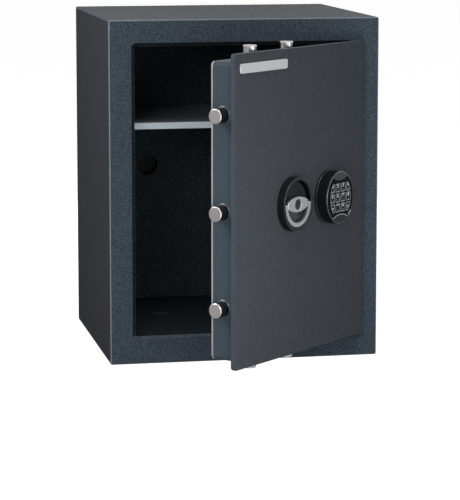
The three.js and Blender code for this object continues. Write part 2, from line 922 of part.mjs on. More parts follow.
function spindleBush() {
  const bore = spindleDiameter / 2 + seatGap;
  const flangeFront = plateBack + seatGap;
  return turned([
    [bore, plateFront],
    [bushDiameter / 2, plateFront],
    [bushDiameter / 2, flangeFront],
    [bushFlange / 2, flangeFront],
    [bushFlange / 2, flangeFront + bushFlangeThickness],
    [bore, flangeFront + bushFlangeThickness],
    [bore, plateFront],
  ], handleX, handleZ, 1, usualSides);
}

function spindle() {
  return through(
    spindleDiameter / 2, hubFront + hubThickness + seatGap, endRackBack + spindleTail, handleX, handleZ,
  );
}

// An eye-shaped outline between two arcs.
function lensShape(halfSpan, halfHeight) {
  const radius = (halfSpan ** 2 + halfHeight ** 2) / (2 * halfHeight);
  const drop = radius - halfHeight;
  const sweep = Math.asin(halfSpan / radius);
  const shape = new THREE.Shape();
  shape.absarc(handleX, handleZ - drop, radius, Math.PI / 2 - sweep, Math.PI / 2 + sweep);
  shape.absarc(handleX, handleZ + drop, radius, 1.5 * Math.PI - sweep, 1.5 * Math.PI + sweep);
  return shape;
}

function trunnionZ() {
  return handleZ - trunnionDrop;
}

function trunnionY() {
  return hubFront + ringThickness / 2;
}

function handleHub() {
  const back = hubFront + hubThickness;
  const lens = slab(lensShape(hubSpan / 2, hubHeight / 2), hubFront, back, 12);
  const limit = through(
    ringInner - ringHubGap, hubFront - cutOverrun, back + cutOverrun, handleX, handleZ, largeSides,
  );
  const bossBack = plateFront - seatGap - dishFloor - seatGap;
  const boss = through(hubBoss / 2, back - hubThickness / 2, bossBack, handleX, handleZ);
  const shank = through(spindleDiameter / 2 + seatGap, back, plateFront, handleX, handleZ);
  const dimple = through(dimpleDiameter / 2, hubFront - cutOverrun, hubFront + dimpleDepth, handleX, handleZ);
  const sockets = [-1, 1].map((side) => {
    const [x0, x1] = ordered(handleX + side * (ringInner - trunnionLength), handleX + side * ringInner);
    return across(trunnionDiameter / 2 + seatGap, x0, x1, trunnionY(), trunnionZ(), smallSides);
  });
  return cut(join(lens.intersect(limit), boss), shank, dimple, ...sockets);
}

// Half a ring that hangs from two stubs in the hub's ends.
function pullRing() {
  const outer = ringOuter / 2;
  const back = hubFront + ringThickness;
  const disc = through(outer, hubFront, back, handleX, handleZ, largeSides);
  const hole = through(ringInner, hubFront - cutOverrun, back + cutOverrun, handleX, handleZ, largeSides);
  const upperHalf = box(
    handleX - ringOuter, handleX + ringOuter,
    hubFront - cutOverrun, back + cutOverrun,
    trunnionZ(), handleZ + ringOuter,
  );
  const band = cut(disc, hole, upperHalf);
  const earEnd = Math.sqrt(outer ** 2 - (ringThickness / 2) ** 2) - seatGap;
  const ears = [-1, 1].map((side) => {
    const [x0, x1] = ordered(handleX + side * ringInner, handleX + side * earEnd);
    return across(ringThickness / 2, x0, x1, trunnionY(), trunnionZ());
  });
  const stubs = [-1, 1].map((side) => {
    const near = handleX + side * (ringInner - trunnionLength + seatGap);
    const [x0, x1] = ordered(near, handleX + side * (ringInner + ringWidth / 2));
    return across(trunnionDiameter / 2, x0, x1, trunnionY(), trunnionZ(), smallSides);
  });
  return join(band, ...ears, ...stubs);
}

// Keypad

function keypadBase() {
  const outer = keypadBaseHeight / 2;
  const back = plateFront - seatGap;
  const shape = turned([
    [0, back],
    [outer, back],
    [outer, keypadBaseFront + keypadBaseChamfer],
    [outer - keypadBaseChamfer, keypadBaseFront],
    [0, keypadBaseFront],
  ], keypadX, keypadZ, keypadBaseSquash);
  const cableHole = through(
    cableDiameter / 2 + seatGap, keypadBaseFront - cutOverrun, plateFront, keypadX, keypadZ, smallSides,
  );
  return cut(shape, cableHole);
}

function keypadOuter() {
  const face = keypadHeight / 2;
  const back = keypadBaseFront - seatGap;
  return turned([
    [0, back],
    [face + keypadFlare, back],
    [face, keypadFrontY + keypadEdge],
    [face - keypadEdge * arcInset, keypadFrontY + keypadEdge * arcInset],
    [face - keypadEdge, keypadFrontY],
    [0, keypadFrontY],
  ], keypadX, keypadZ, keypadSquash);
}

// The oval field between the two caps: the keys and the recess both follow it.
function fieldShape(margin) {
  const half = keypadHeight / 2 - keypadEdge - margin;
  const shape = new THREE.Shape();
  shape.absellipse(keypadX, keypadZ, half * keypadSquash, half, 0, 2 * Math.PI);
  return shape;
}

// A cap of the face lies where the field meets this disc, above the keys or below them.
function capDisc(side, y0, y1) {
  const edge = keypadZ + side * (keypadHeight / 2 - capHeight);
  return through(capRadius, y0, y1, keypadX, edge + side * capRadius, largeSides);
}

function keyOutline(column, row, grow) {
  const x = keypadX + (column - (keyColumns - 1) / 2) * keyPitchX;
  const z = keypadZ + ((keyRows - 1) / 2 - row) * keyPitchZ;
  return roundedRectangle(
    x - keyWidth / 2 - grow, x + keyWidth / 2 + grow,
    z - keyHeight / 2 - grow, z + keyHeight / 2 + grow,
    keyCorner,
  );
}

function keyBody(column, row) {
  const front = fieldY - keyProud;
  const back = keypadFrontY + keypadFace + keySkirt;
  return slab(keyOutline(column, row, 0), front, back, 2)
    .intersect(slab(fieldShape(keyMargin), front, back, 16));
}

function keyHole(column, row) {
  const front = keypadFrontY - cutOverrun;
  const back = keypadFrontY + keypadFace + cutOverrun;
  return slab(keyOutline(column, row, seatGap), front, back, 2)
    .intersect(slab(fieldShape(keyMargin - seatGap), front, back, 16));
}

function keypadHousing() {
  const hollow = turned([
    [0, keypadBaseFront],
    [keypadHeight / 2 + keypadFlare - keypadWall, keypadBaseFront],
    [keypadHeight / 2 - keypadWall, keypadFrontY + keypadFace],
    [0, keypadFrontY + keypadFace],
  ], keypadX, keypadZ, keypadSquash);
  const front = keypadFrontY - cutOverrun;
  const recess = cut(slab(fieldShape(0), front, fieldY, 22), capDisc(1, front, fieldY + cutOverrun));
  const holes = [];
  for (let row = 0; row < keyRows; row += 1) {
    for (let column = 0; column < keyColumns; column += 1) {
      holes.push(keyHole(column, row));
    }
  }
  return cut(keypadOuter(), hollow, recess, ...holes);
}

function batteryCover() {
  const plate = slab(fieldShape(seatGap), keypadFrontY, fieldY - seatGap, 22);
  return plate.intersect(capDisc(-1, keypadFrontY - cutOverrun, fieldY));
}

function circuitBoard() {
  const half = keypadHeight / 2 - keypadWall - seatGap;
  return turned([
    [0, boardFront + boardThickness],
    [half, boardFront + boardThickness],
    [half, boardFront],
    [0, boardFront],
  ], keypadX, keypadZ, keypadSquash);
}

function battery() {
  const y = boardFront + boardThickness + seatGap + batteryDiameter / 2;
  return across(
    batteryDiameter / 2, keypadX - batteryLength / 2, keypadX + batteryLength / 2,
    y, keypadZ - keypadHeight / 4,
  );
}

// Finishes

function finish(color, roughness, metalness) {
  return () => new THREE.MeshStandardMaterial({ color, roughness, metalness });
}

const powderCoat = finish(0x49525a, 0.55, 0.3);
const doorCoat = finish(0x474c52, 0.5, 0.3);
const paleSheet = finish(0xb9c2c6, 0.5, 0.2);
const zincSteel = finish(0x9aa0a4, 0.4, 0.9);
const brightSteel = finish(0xdedcda, 0.2, 1);
const fillBoard = finish(0xb8b2a6, 0.95, 0);
const blackPlastic = finish(0x33363a, 0.4, 0);
const greyPlastic = finish(0x6a6e72, 0.4, 0);
const satinMetal = finish(0xd9dadb, 0.3, 0.9);
const boardGreen = finish(0x2f6b45, 0.5, 0);
const batteryWrap = finish(0x3d4d6b, 0.4, 0.2);

function part(group, name, solid, material) {
  const mesh = new THREE.Mesh(toGeometry(solid), material());
  mesh.name = name;
  group.add(mesh);
}

const safe = new THREE.Group();

const cabinet = new THREE.Group();
safe.add(cabinet);
part(cabinet, 'outer_casing', outerCasing(), powderCoat);
part(cabinet, 'back_panel', backPanel(), powderCoat);
part(cabinet, 'inner_liner', innerLiner(), powderCoat);
part(cabinet, 'barrier_fill', barrierFill(), fillBoard);
part(cabinet, 'shelf', shelf(), paleSheet);
part(cabinet, 'shelf_rail_left', shelfRail(-1), powderCoat);
part(cabinet, 'shelf_rail_right', shelfRail(1), powderCoat);
['lower', 'upper'].forEach((level, i) => {
  part(cabinet, `hinge_bracket_${level}`, hingeBracket(hingeHeights[i]), zincSteel);
  part(cabinet, `hinge_pin_${level}`, hingePin(hingeHeights[i]), zincSteel);
});

// The door turns about the hinge axis. Its pieces are drawn closed, so they are set back by the axis's place.
const doorSwing = new THREE.Group();
doorSwing.position.set(hingeX, hingeY, 0);
doorSwing.rotation.z = THREE.MathUtils.degToRad(doorOpenAngle);
safe.add(doorSwing);
const door = new THREE.Group();
door.position.set(-hingeX, -hingeY, 0);
doorSwing.add(door);

part(door, 'door_plate', doorPlate(), doorCoat);
part(door, 'door_pan', doorPan(), powderCoat);
part(door, 'rear_cover', rearCover(), paleSheet);
coverPostPlaces().forEach(([x, z], i) => part(door, `cover_screw_${i + 1}`, coverScrew(x, z), zincSteel));
['lower', 'upper'].forEach((level, i) => {
  part(door, `hinge_arm_${level}`, hingeArm(hingeHeights[i]), zincSteel);
});
part(door, 'lock_case', lockCase(), zincSteel);
part(door, 'lock_cable', lockCable(), blackPlastic);
part(door, 'spindle_bush', spindleBush(), zincSteel);
part(door, 'handle_housing', handleHousing(), blackPlastic);
part(door, 'keypad_base', keypadBase(), blackPlastic);
part(door, 'keypad_housing', keypadHousing(), blackPlastic);
part(door, 'circuit_board', circuitBoard(), boardGreen);
part(door, 'battery', battery(), batteryWrap);
part(door, 'battery_cover', batteryCover(), greyPlastic);
part(door, 'front_badge', frontBadge(), satinMetal);

['bottom', 'middle', 'top'].forEach((level, i) => {
  part(door, `side_bolt_${level}`, sideBolt(sideBoltHeights[i]), brightSteel);
});
part(door, 'side_bolt_bar', sideBoltBar(), zincSteel);
['left', 'right'].forEach((side, i) => {
  part(door, `top_bolt_${side}`, endBolt(endBoltsX[i], topBoltTip, -1), brightSteel);
  part(door, `bottom_bolt_${side}`, endBolt(endBoltsX[i], bottomBoltTip, 1), brightSteel);
});
part(door, 'top_bolt_bar', endBoltBar(1, topBoltTip), zincSteel);
part(door, 'bottom_bolt_bar', endBoltBar(-1, bottomBoltTip), zincSteel);

part(door, 'handle_hub', handleHub(), satinMetal);
part(door, 'spindle', spindle(), zincSteel);
part(door, 'pinion', pinion(), zincSteel);
part(door, 'pull_ring', pullRing(), satinMetal);
part(door, 'lock_bolt', lockBolt(), brightSteel);

for (let row = 0; row < keyRows; row += 1) {
  for (let column = 0; column < keyColumns; column += 1) {
    part(door, `key_${row * keyColumns + column + 1}`, keyBody(column, row), blackPlastic);
  }
}

export default safe;
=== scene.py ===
"""Home safe: its looks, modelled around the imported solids. Metres, +Z up, front towards -Y."""
import json
import math

import bmesh
import bpy
from mathutils import Matrix, Vector

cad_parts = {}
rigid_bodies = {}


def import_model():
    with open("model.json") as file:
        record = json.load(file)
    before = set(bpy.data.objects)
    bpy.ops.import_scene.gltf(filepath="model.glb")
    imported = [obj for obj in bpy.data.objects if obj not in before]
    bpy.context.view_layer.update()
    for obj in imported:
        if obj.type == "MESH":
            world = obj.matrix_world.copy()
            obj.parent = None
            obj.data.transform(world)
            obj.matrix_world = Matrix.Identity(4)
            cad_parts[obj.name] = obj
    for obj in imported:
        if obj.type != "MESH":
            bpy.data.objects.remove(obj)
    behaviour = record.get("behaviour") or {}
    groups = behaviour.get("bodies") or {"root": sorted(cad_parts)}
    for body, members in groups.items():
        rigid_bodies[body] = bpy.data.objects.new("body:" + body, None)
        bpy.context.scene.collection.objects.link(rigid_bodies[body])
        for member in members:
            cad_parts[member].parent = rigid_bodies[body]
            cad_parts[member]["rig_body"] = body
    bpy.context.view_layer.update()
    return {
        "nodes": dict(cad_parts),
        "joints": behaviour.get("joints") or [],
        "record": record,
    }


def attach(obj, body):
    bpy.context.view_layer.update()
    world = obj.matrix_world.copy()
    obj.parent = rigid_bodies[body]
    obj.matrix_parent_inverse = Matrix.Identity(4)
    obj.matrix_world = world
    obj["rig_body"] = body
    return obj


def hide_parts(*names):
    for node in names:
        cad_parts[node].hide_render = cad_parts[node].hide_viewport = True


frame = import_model()

joints = {joint["name"]: joint for joint in frame["joints"]}

# The door's pieces are modelled with the door shut, and then swung open about the hinge
hinge_pivot = Vector(joints["door_hinge"]["pos_m"])
open_angle = math.radians(-joints["door_hinge"]["range_deg"][0])
door_turn = (
    Matrix.Translation(hinge_pivot)
    @ Matrix.Rotation(open_angle, 4, "Z")
    @ Matrix.Translation(-hinge_pivot)
)

# Cabinet
CASING_EDGE = 0.003
CASING_WALL = 0.0025
FRONT_WALL = 0.006
MOUTH_BEVEL = 0.0045
MOUTH_CORNER = 0.003
MOUTH_SOFT = 0.0006
LINER_FLANGE = 0.012
LINER_WALL = 0.002
LINER_FOLD = 0.003
LIP_ABOVE_FLOOR = 0.0045
ANCHOR_BOLT = 0.014
ANCHOR_HOLE = 0.036
PLUG_HEAD = 0.0345
PLUG_STEM = 0.0136
PLUG_RISE = 0.0015
PLUG_CHAMFER = 0.0005
PLUG_CROWN = 0.0003
SHELF_SHEET = 0.0015
SHELF_EDGE = 0.0012
SOCKET_CLEARANCE = 0.0015
POCKET_BEYOND_BRACKET = 0.005
POCKET_ABOVE_BRACKET = 0.0005

# Door
PLATE_CORNER = 0.0055
PLATE_EDGE = 0.0015
BUSH_HOLE = 0.0166
CABLE_HOLE = 0.008
PAN_CORNER = 0.007
PAN_WALL = 0.002
PAN_EDGE = 0.0009
COVER_EDGE = 0.0011
POST = 0.014
SCREW_HOLE = 0.0046
SCREW_SHANK = 0.004
SCREW_HEAD = 0.002
SCREW_SLOT = 0.0011
# Shares of the screw head's radius and height
SCREW_SLOT_REACH = 0.6
SCREW_SLOT_DEPTH = 0.7
SCREW_DOME = ((1.0, 0.35), (0.86, 0.75), (0.55, 0.95))
BOLT_CLEARANCE = 0.002
BOLT_CHAMFER = 0.0011
BOLT_LIP = 0.0004
BOLT_EDGE = 0.00025
BUSH_CLEARANCE = 0.0006
BUSH_FLANGE = 0.0022
BUSH_RISE = 0.0014
BUSH_DEPTH = 0.008
BADGE_EDGE = 0.0005
BADGE_CORNER = 0.00375

# Handle
SPINDLE_HOLE = 0.0106
RIM_WIDTH = 0.0045
RIM_DRAFT = 0.001
RIM_ROUND = 0.0008
DISH_FLOOR = 0.002
DISH_FILLET = 0.009
HUB_ARC_SPAN = 0.071
HUB_HEIGHT = 0.024
HUB_THICKNESS = 0.006
HUB_BOSS = 0.020
HUB_EDGE = 0.0006
DIMPLE = 0.017
DIMPLE_DEPTH = 0.0020
DIMPLE_ROUND = 0.0005
RING_OUTER = 0.0706
RING_WIDTH = 0.0065
RING_THICKNESS = 0.005
RING_EDGE = 0.0008
RING_HUB_GAP = 0.0008
TRUNNION = 0.003
TRUNNION_LENGTH = 0.005
TRUNNION_DROP = 0.0005
RUNNING_GAP = 0.0003

# Keypad
BASE_EDGE = 0.0012
KEYPAD_EDGE = 0.002
KEYPAD_FLARE = 0.002
KEYPAD_VISIBLE_FLARE = 0.0008
KEYPAD_HOLLOW_DEPTH = 0.003
KEYPAD_WALL = 0.0025
FIELD_DEPTH = 0.0012
FIELD_SQUASH = 0.923
CAP_HEIGHT = 0.0145
CAP_RADIUS = 0.044
CAP_TRIM = 0.0011
CAP_TRIM_RISE = 0.0004
# A bright silver strip on the keypad's face edge that stands for a highlight: painted highlight
SIDE_HIGHLIGHT = 0.0014
SIDE_HIGHLIGHT_ANGLE = -42.5
SIDE_HIGHLIGHT_REACH = 0.0048
CAP_EDGE = 0.0002
LAMP = 0.0026
LAMP_INSET = 0.0004
LAMP_CROWN = 0.0003
KEY_COLUMNS = 4
KEY_ROWS = 3
KEY_PITCH_X = 0.0154
KEY_PITCH_Z = 0.016
KEY_WIDTH = 0.0128
KEY_HEIGHT = 0.0138
KEY_CORNER = 0.0015
KEY_MARGIN = 0.0072
KEY_GAP = 0.0003
KEY_EDGE = 0.0003
KEY_FRAME = 0.0008
KEY_SINK = 0.0002
DIGIT_SIZE = 0.0064
DIGIT_RISE = 0.0026
DIGIT_THICKNESS = 0.00006
DIGIT_SHIFT = 0.0012
DIGIT_WEIGHT = 0.0002
MARK = 0.0046
MARK_LINE = 0.0007
UNDERLINE_WIDTH = 0.0026
UNDERLINE_HEIGHT = 0.0020
UNDERLINE_DROP = 0.0034
UNDERLINE_SHIFT = 0.0010

# Finishes: sizes and reliefs are shares of the grain, and a spread is of roughness
FLECK_SIZE = 0.62
FLECK_FADE = 0.08
PATCH_SIZE = 2.2
COAT_SPREAD = 0.06
COAT_RELIEF = 0.25
METAL_DARK = 0.88
METAL_SPREAD = 0.2
METAL_RELIEF = 0.1
PLASTIC_DARK = 0.9
PLASTIC_SPREAD = 0.04
PLASTIC_RELIEF = 0.2

# The finest softened edge, the smallest distance that counts, and how far a cutter reaches past
FINE_EDGE = 0.0003
TINY = 0.00001
OVERRUN = 0.001


# Modelling

def box_of(node):
    """A node's lowest and highest corner. The door's nodes are taken as they lie with the door shut."""
    cad = frame["nodes"][node]
    turn = Matrix.Identity(4) if cad["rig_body"] == "cabinet" else door_turn.inverted()
    corners = [turn @ vertex.co for vertex in cad.data.vertices]
    low = Vector([min(values) for values in zip(*corners)])
    high = Vector([max(values) for values in zip(*corners)])
    return low, high


def clear_selection():
    bpy.ops.object.select_all(action="DESELECT")


def pick(piece):
    clear_selection()
    piece.select_set(True)
    bpy.context.view_layer.objects.active = piece


def named(name):
    """Names the object just added and puts its place into its mesh."""
    piece = bpy.context.object
    piece.name = name
    piece.data.name = name
    bpy.ops.object.transform_apply(location=True, rotation=True, scale=True)
    return piece


def block(name, low, high):
    low, high = Vector(low), Vector(high)
    clear_selection()
    bpy.ops.mesh.primitive_cube_add(size=1, location=(low + high) / 2, scale=high - low)
    return named(name)


def rod(name, radius, start, end, sides=48):
    start, end = Vector(start), Vector(end)
    along = end - start
    clear_selection()
    bpy.ops.mesh.primitive_cylinder_add(
        vertices=sides, radius=radius, depth=along.length,
        location=(start + end) / 2, rotation=along.to_track_quat("Z", "Y").to_euler(),
    )
    return named(name)


def edit(piece, mode):
    """Opens a piece for editing with nothing selected, and gives its mesh for choosing parts of it."""
    pick(piece)
    bpy.ops.object.mode_set(mode="EDIT")
    bpy.ops.mesh.select_mode(type=mode)
    bpy.ops.mesh.select_all(action="DESELECT")
    return bmesh.from_edit_mesh(piece.data)


def choose(mesh, parts, test):
    for part in parts:
        if test(part):
            part.select_set(True)
    mesh.select_flush_mode()


def close():
    bpy.ops.object.mode_set(mode="OBJECT")


def middle(part):
    """The centre of an edge or face."""
    return sum((vertex.co for vertex in part.verts), Vector()) / len(part.verts)


def direction(edge):
    return (edge.verts[1].co - edge.verts[0].co).normalized()


def lathe(name, profile, x, z, squash=1.0, steps=96):
    """Spins a profile of (radius, y) points about an axis along Y, and narrows it in X by squash."""
    clear_selection()
    radius, y = profile[0]
    bpy.ops.mesh.primitive_plane_add(size=TINY, location=(x + radius, y, z))
    piece = named(name)
    edit(piece, "VERT")
    bpy.ops.mesh.select_all(action="SELECT")
    bpy.ops.mesh.merge(type="CENTER")
    for (radius, y), (next_radius, next_y) in zip(profile, profile[1:]):
        move = {"value": (next_radius - radius, next_y - y, 0)}
        bpy.ops.mesh.extrude_vertices_move(TRANSFORM_OT_translate=move)
    bpy.ops.mesh.select_all(action="SELECT")
    bpy.ops.mesh.spin(steps=steps, angle=math.tau, center=(x, 0, z), axis=(0, 1, 0))
    bpy.ops.mesh.select_all(action="SELECT")
    bpy.ops.mesh.remove_doubles(threshold=TINY)
    bpy.ops.mesh.normals_make_consistent(inside=False)
    bpy.ops.transform.resize(value=(squash, 1, 1), center_override=(x, 0, z))
    close()
    return piece


def quarter_round(radius, y, size, deep):
    """Profile points of a rounded corner at a radius and depth, from its side to its flat."""
    angles = [math.radians(step * 15) for step in range(7)]
    return [(radius - size * (1 - math.cos(a)), y + deep * (1 - math.sin(a))) for a in angles]


def round_along(piece, axis, radius, segments=8):
    """Rounds a block's four edges that run along an axis: 0, 1 or 2 for X, Y or Z."""
    mesh = edit(piece, "EDGE")
    choose(mesh, mesh.edges, lambda edge: abs(direction(edge)[axis]) > 0.99)
    bpy.ops.mesh.bevel(offset=radius, segments=segments, affect="EDGES")
    close()


def apply_modifier(piece, modifier):
    pick(piece)
    bpy.ops.object.modifier_apply(modifier=modifier.name)


def soften(piece, width, segments=3, sharper_than=30):
    """Rounds each edge that is sharper than an angle in degrees."""
    bevel = piece.modifiers.new("softened edges", "BEVEL")
    bevel.width = width
    bevel.segments = segments
    bevel.limit_method = "ANGLE"
    bevel.angle_limit = math.radians(sharper_than)
    apply_modifier(piece, bevel)


def combine(piece, others, operation):
    for other in others:
        boolean = piece.modifiers.new(operation.lower(), "BOOLEAN")
        boolean.operation = operation
        boolean.solver = "EXACT"
        boolean.object = other
        apply_modifier(piece, boolean)
        bpy.data.objects.remove(other)
    return piece


def carve(piece, *cutters):
    return combine(piece, cutters, "DIFFERENCE")


def keep_inside(piece, *limits):
    return combine(piece, limits, "INTERSECT")


def weld(piece, *others):
    return combine(piece, others, "UNION")


def gather(piece, *others):
    """Joins separate solids into one object."""
    pick(piece)
    for other in others:
        other.select_set(True)
    bpy.ops.object.join()
    return piece


def smooth(piece, angle=32):
    pick(piece)
    bpy.ops.object.shade_smooth_by_angle(angle=math.radians(angle))
    weighted = piece.modifiers.new("even shading", "WEIGHTED_NORMAL")
    weighted.keep_sharp = True
    apply_modifier(piece, weighted)


def paint(piece, material, test=None):
    """Gives a piece its material, or adds one for the faces that pass a test."""
    piece.data.materials.append(material)
    if test is None:
        return
    mesh = edit(piece, "FACE")
    choose(mesh, mesh.faces, test)
    piece.active_material_index = len(piece.data.materials) - 1
    bpy.ops.object.material_slot_assign()
    close()


def done(piece, body, slot, material, *nodes):
    """Finishes a piece: shading, material, the body that it rides on and the nodes that it stands for."""
    if not piece.data.materials:
        paint(piece, material)
    smooth(piece)
    if body != "cabinet":
        piece.data.transform(door_turn)
    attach(piece, body)
    if nodes:
        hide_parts(*nodes)


# Materials

def add_node(material, kind, **values):
    """Adds a shader node. Values whose names match its inputs, with spaces for underscores, are set there."""
    node = material.node_tree.nodes.new(kind)
    for key, value in values.items():
        if hasattr(node, key):
            setattr(node, key, value)
        else:
            node.inputs[key.replace("_", " ")].default_value = value
    return node


def link(material, source, target):
    material.node_tree.links.new(source, target)


def new_material(name, metallic, specular=0.5):
    material = bpy.data.materials.new(name)
    material.use_nodes = True
    shader = material.node_tree.nodes["Principled BSDF"]
    shader.inputs["Metallic"].default_value = metallic
    shader.inputs["Specular IOR Level"].default_value = specular
    return material, shader


def noise(material, size, detail=3.0):
    """Noise on the piece's own coordinates, with spots of about the given size in metres."""
    coordinates = add_node(material, "ShaderNodeTexCoord")
    texture = add_node(material, "ShaderNodeTexNoise", Scale=1 / size, Detail=detail, Roughness=0.55)
    link(material, coordinates.outputs["Object"], texture.inputs["Vector"])
    return texture.outputs["Fac"]


def ramp(material, factor, stops):
    """A colour ramp with two (position, colour) stops."""
    node = add_node(material, "ShaderNodeValToRGB")
    for element, (position, colour) in zip(node.color_ramp.elements, stops):
        element.position = position
        element.color = (*colour, 1)
    link(material, factor, node.inputs["Fac"])
    return node.outputs["Color"]


def vary(material, factor, low, high, target):
    """Feeds a target input with values between low and high."""
    node = add_node(material, "ShaderNodeMapRange", From_Min=0.3, From_Max=0.7, To_Min=low, To_Max=high)
    link(material, factor, node.inputs["Value"])
    link(material, node.outputs["Result"], target)


def raise_grain(material, shader, height, strength, depth):
    bump = add_node(material, "ShaderNodeBump", Strength=strength, Distance=depth)
    link(material, height, bump.inputs["Height"])
    link(material, bump.outputs["Normal"], shader.inputs["Normal"])


def powder_coat(name, dark, light, fleck, grain, roughness, strength, specular, sparse=0.66):
    """Textured powder coat: a fine uneven grain with small bright metallic flecks."""
    material, shader = new_material(name, 0.0, specular)
    texture = noise(material, grain)
    colour = ramp(material, texture, [(0.36, dark), (0.66, light)])
    fine = noise(material, grain * FLECK_SIZE, 1.0)
    spots = ramp(material, fine, [(sparse, (0, 0, 0)), (sparse + FLECK_FADE, (1, 1, 1))])
    # A mix node's colours are its inputs 6 and 7 and its output 2
    mix = add_node(material, "ShaderNodeMix", data_type="RGBA", blend_type="MIX")
    link(material, spots, mix.inputs["Factor"])
    link(material, colour, mix.inputs[6])
    mix.inputs[7].default_value = (*fleck, 1)
    link(material, mix.outputs[2], shader.inputs["Base Color"])
    patches = noise(material, grain * PATCH_SIZE)
    vary(material, patches, roughness - COAT_SPREAD, roughness + COAT_SPREAD, shader.inputs["Roughness"])
    raise_grain(material, shader, texture, strength, grain * COAT_RELIEF)
    return material


def plain_metal(name, colour, roughness, grain, strength=0.05):
    """Plated or satin metal with a faint uneven sheen."""
    material, shader = new_material(name, 1.0)
    texture = noise(material, grain, 4.0)
    dark = tuple(channel * METAL_DARK for channel in colour)
    link(material, ramp(material, texture, [(0.3, dark), (0.7, colour)]), shader.inputs["Base Color"])
    low, high = roughness * (1 - METAL_SPREAD), roughness * (1 + METAL_SPREAD)
    vary(material, texture, low, high, shader.inputs["Roughness"])
    raise_grain(material, shader, texture, strength, grain * METAL_RELIEF)
    return material


def moulded_plastic(name, colour, roughness, grain=0.0006, strength=0.08, specular=0.4):
    """Moulded plastic with a fine spark-eroded grain."""
    material, shader = new_material(name, 0.0, specular)
    texture = noise(material, grain)
    dark = tuple(channel * PLASTIC_DARK for channel in colour)
    link(material, ramp(material, texture, [(0.35, dark), (0.65, colour)]), shader.inputs["Base Color"])
    low, high = roughness - PLASTIC_SPREAD, roughness + PLASTIC_SPREAD
    vary(material, texture, low, high, shader.inputs["Roughness"])
    raise_grain(material, shader, texture, strength, grain * PLASTIC_RELIEF)
    return material


cabinet_coat = powder_coat(
    "cabinet coat", (0.026, 0.035, 0.043), (0.080, 0.102, 0.125), (0.42, 0.46, 0.50),
    grain=0.0015, roughness=0.70, strength=0.30, specular=0.03,
)
# Painted light: a lighter, greyer copy of the cabinet coat for the top face, as the light from above makes it
# look
top_face_light_coat = powder_coat(
    "cabinet top painted light", (0.032, 0.036, 0.041), (0.095, 0.106, 0.117), (0.42, 0.44, 0.46),
    grain=0.0015, roughness=0.70, strength=0.30, specular=0.03,
)
# Painted highlight: a much lighter copy of the cabinet coat for the rounded front edges, standing for the
# bright line of light along them
edge_highlight_coat = powder_coat(
    "cabinet edge painted highlight", (0.110, 0.130, 0.150), (0.240, 0.270, 0.300), (0.55, 0.58, 0.61),
    grain=0.0015, roughness=0.60, strength=0.20, specular=0.10,
)
# Painted shade: a near-black copy of the coat for the opening's bevels that face away from the light
mouth_shade_coat = powder_coat(
    "mouth bevel painted shade", (0.009, 0.012, 0.015), (0.018, 0.024, 0.029), (0.06, 0.07, 0.08),
    grain=0.0017, roughness=0.70, strength=0.2, specular=0.03,
)
interior_coat = powder_coat(
    "interior coat", (0.026, 0.034, 0.043), (0.048, 0.060, 0.070), (0.26, 0.29, 0.32),
    grain=0.0016, roughness=0.70, strength=0.20, specular=0.05, sparse=0.63,
)
shaded_coat = powder_coat(
    "shaded interior coat", (0.014, 0.019, 0.023), (0.025, 0.033, 0.040), (0.14, 0.16, 0.17),
    grain=0.0019, roughness=0.70, strength=0.35, specular=0.05,
)
# Painted shade: a darker copy of the shelf sheet for its top and back
shelf_top_shade_coat = powder_coat(
    "shelf coat", (0.22, 0.24, 0.27), (0.34, 0.37, 0.41), (0.60, 0.64, 0.68),
    grain=0.0013, roughness=0.60, strength=0.3, specular=0.10, sparse=0.69,
)
door_coat = powder_coat(
    "door coat", (0.035, 0.039, 0.043), (0.077, 0.082, 0.091), (0.20, 0.20, 0.21),
    grain=0.0014, roughness=0.50, strength=0.2, specular=0.04,
)
pan_coat = powder_coat(
    "pan coat", (0.045, 0.060, 0.074), (0.058, 0.077, 0.095), (0.09, 0.11, 0.13),
    grain=0.0010, roughness=0.50, strength=0.08, specular=0.04,
)
# Painted shade: a darker, greyer copy of the cabinet coat without sheen, for the cabinet's left and right
# faces
side_shade_coat = powder_coat(
    "cabinet side painted shade", (0.032, 0.033, 0.038), (0.064, 0.067, 0.074), (0.12, 0.12, 0.13),
    grain=0.0017, roughness=0.70, strength=0.3, specular=0.0,
)
cover_sheet = powder_coat(
    "cover sheet", (0.30, 0.29, 0.29), (0.36, 0.35, 0.35), (0.42, 0.41, 0.41),
    grain=0.0010, roughness=0.42, strength=0.08, specular=0.2,
)
pale_sheet = powder_coat(
    "pale sheet", (0.74, 0.80, 0.85), (0.82, 0.88, 0.93), (0.88, 0.92, 0.95),
    grain=0.0010, roughness=0.42, strength=0.08, specular=0.3,
)
bright_steel = plain_metal("bright steel", (0.64, 0.63, 0.62), 0.16, 0.004, 0.02)
bolt_face = plain_metal("bolt face", (0.40, 0.365, 0.36), 0.42, 0.0015)
# Painted reflection: a dark copy of the plated steel for the side bolts' barrels, standing for the dark
# surroundings they mirror
barrel_dark_reflection = plain_metal("bolt barrel painted dark reflection", (0.16, 0.16, 0.17), 0.30, 0.004, 0.02)
# A guide bush whose dark colour is painted shade of the hole round each side bolt
bush_shade_plastic = moulded_plastic("bush", (0.042, 0.044, 0.048), 0.28, specular=0.35)
badge_metal = plain_metal("badge metal", (0.66, 0.66, 0.67), 0.50, 0.0008)
satin_silver = plain_metal("satin silver", (0.60, 0.61, 0.63), 0.36, 0.0006)
zinc_plate = plain_metal("zinc plate", (0.50, 0.51, 0.52), 0.38, 0.003)
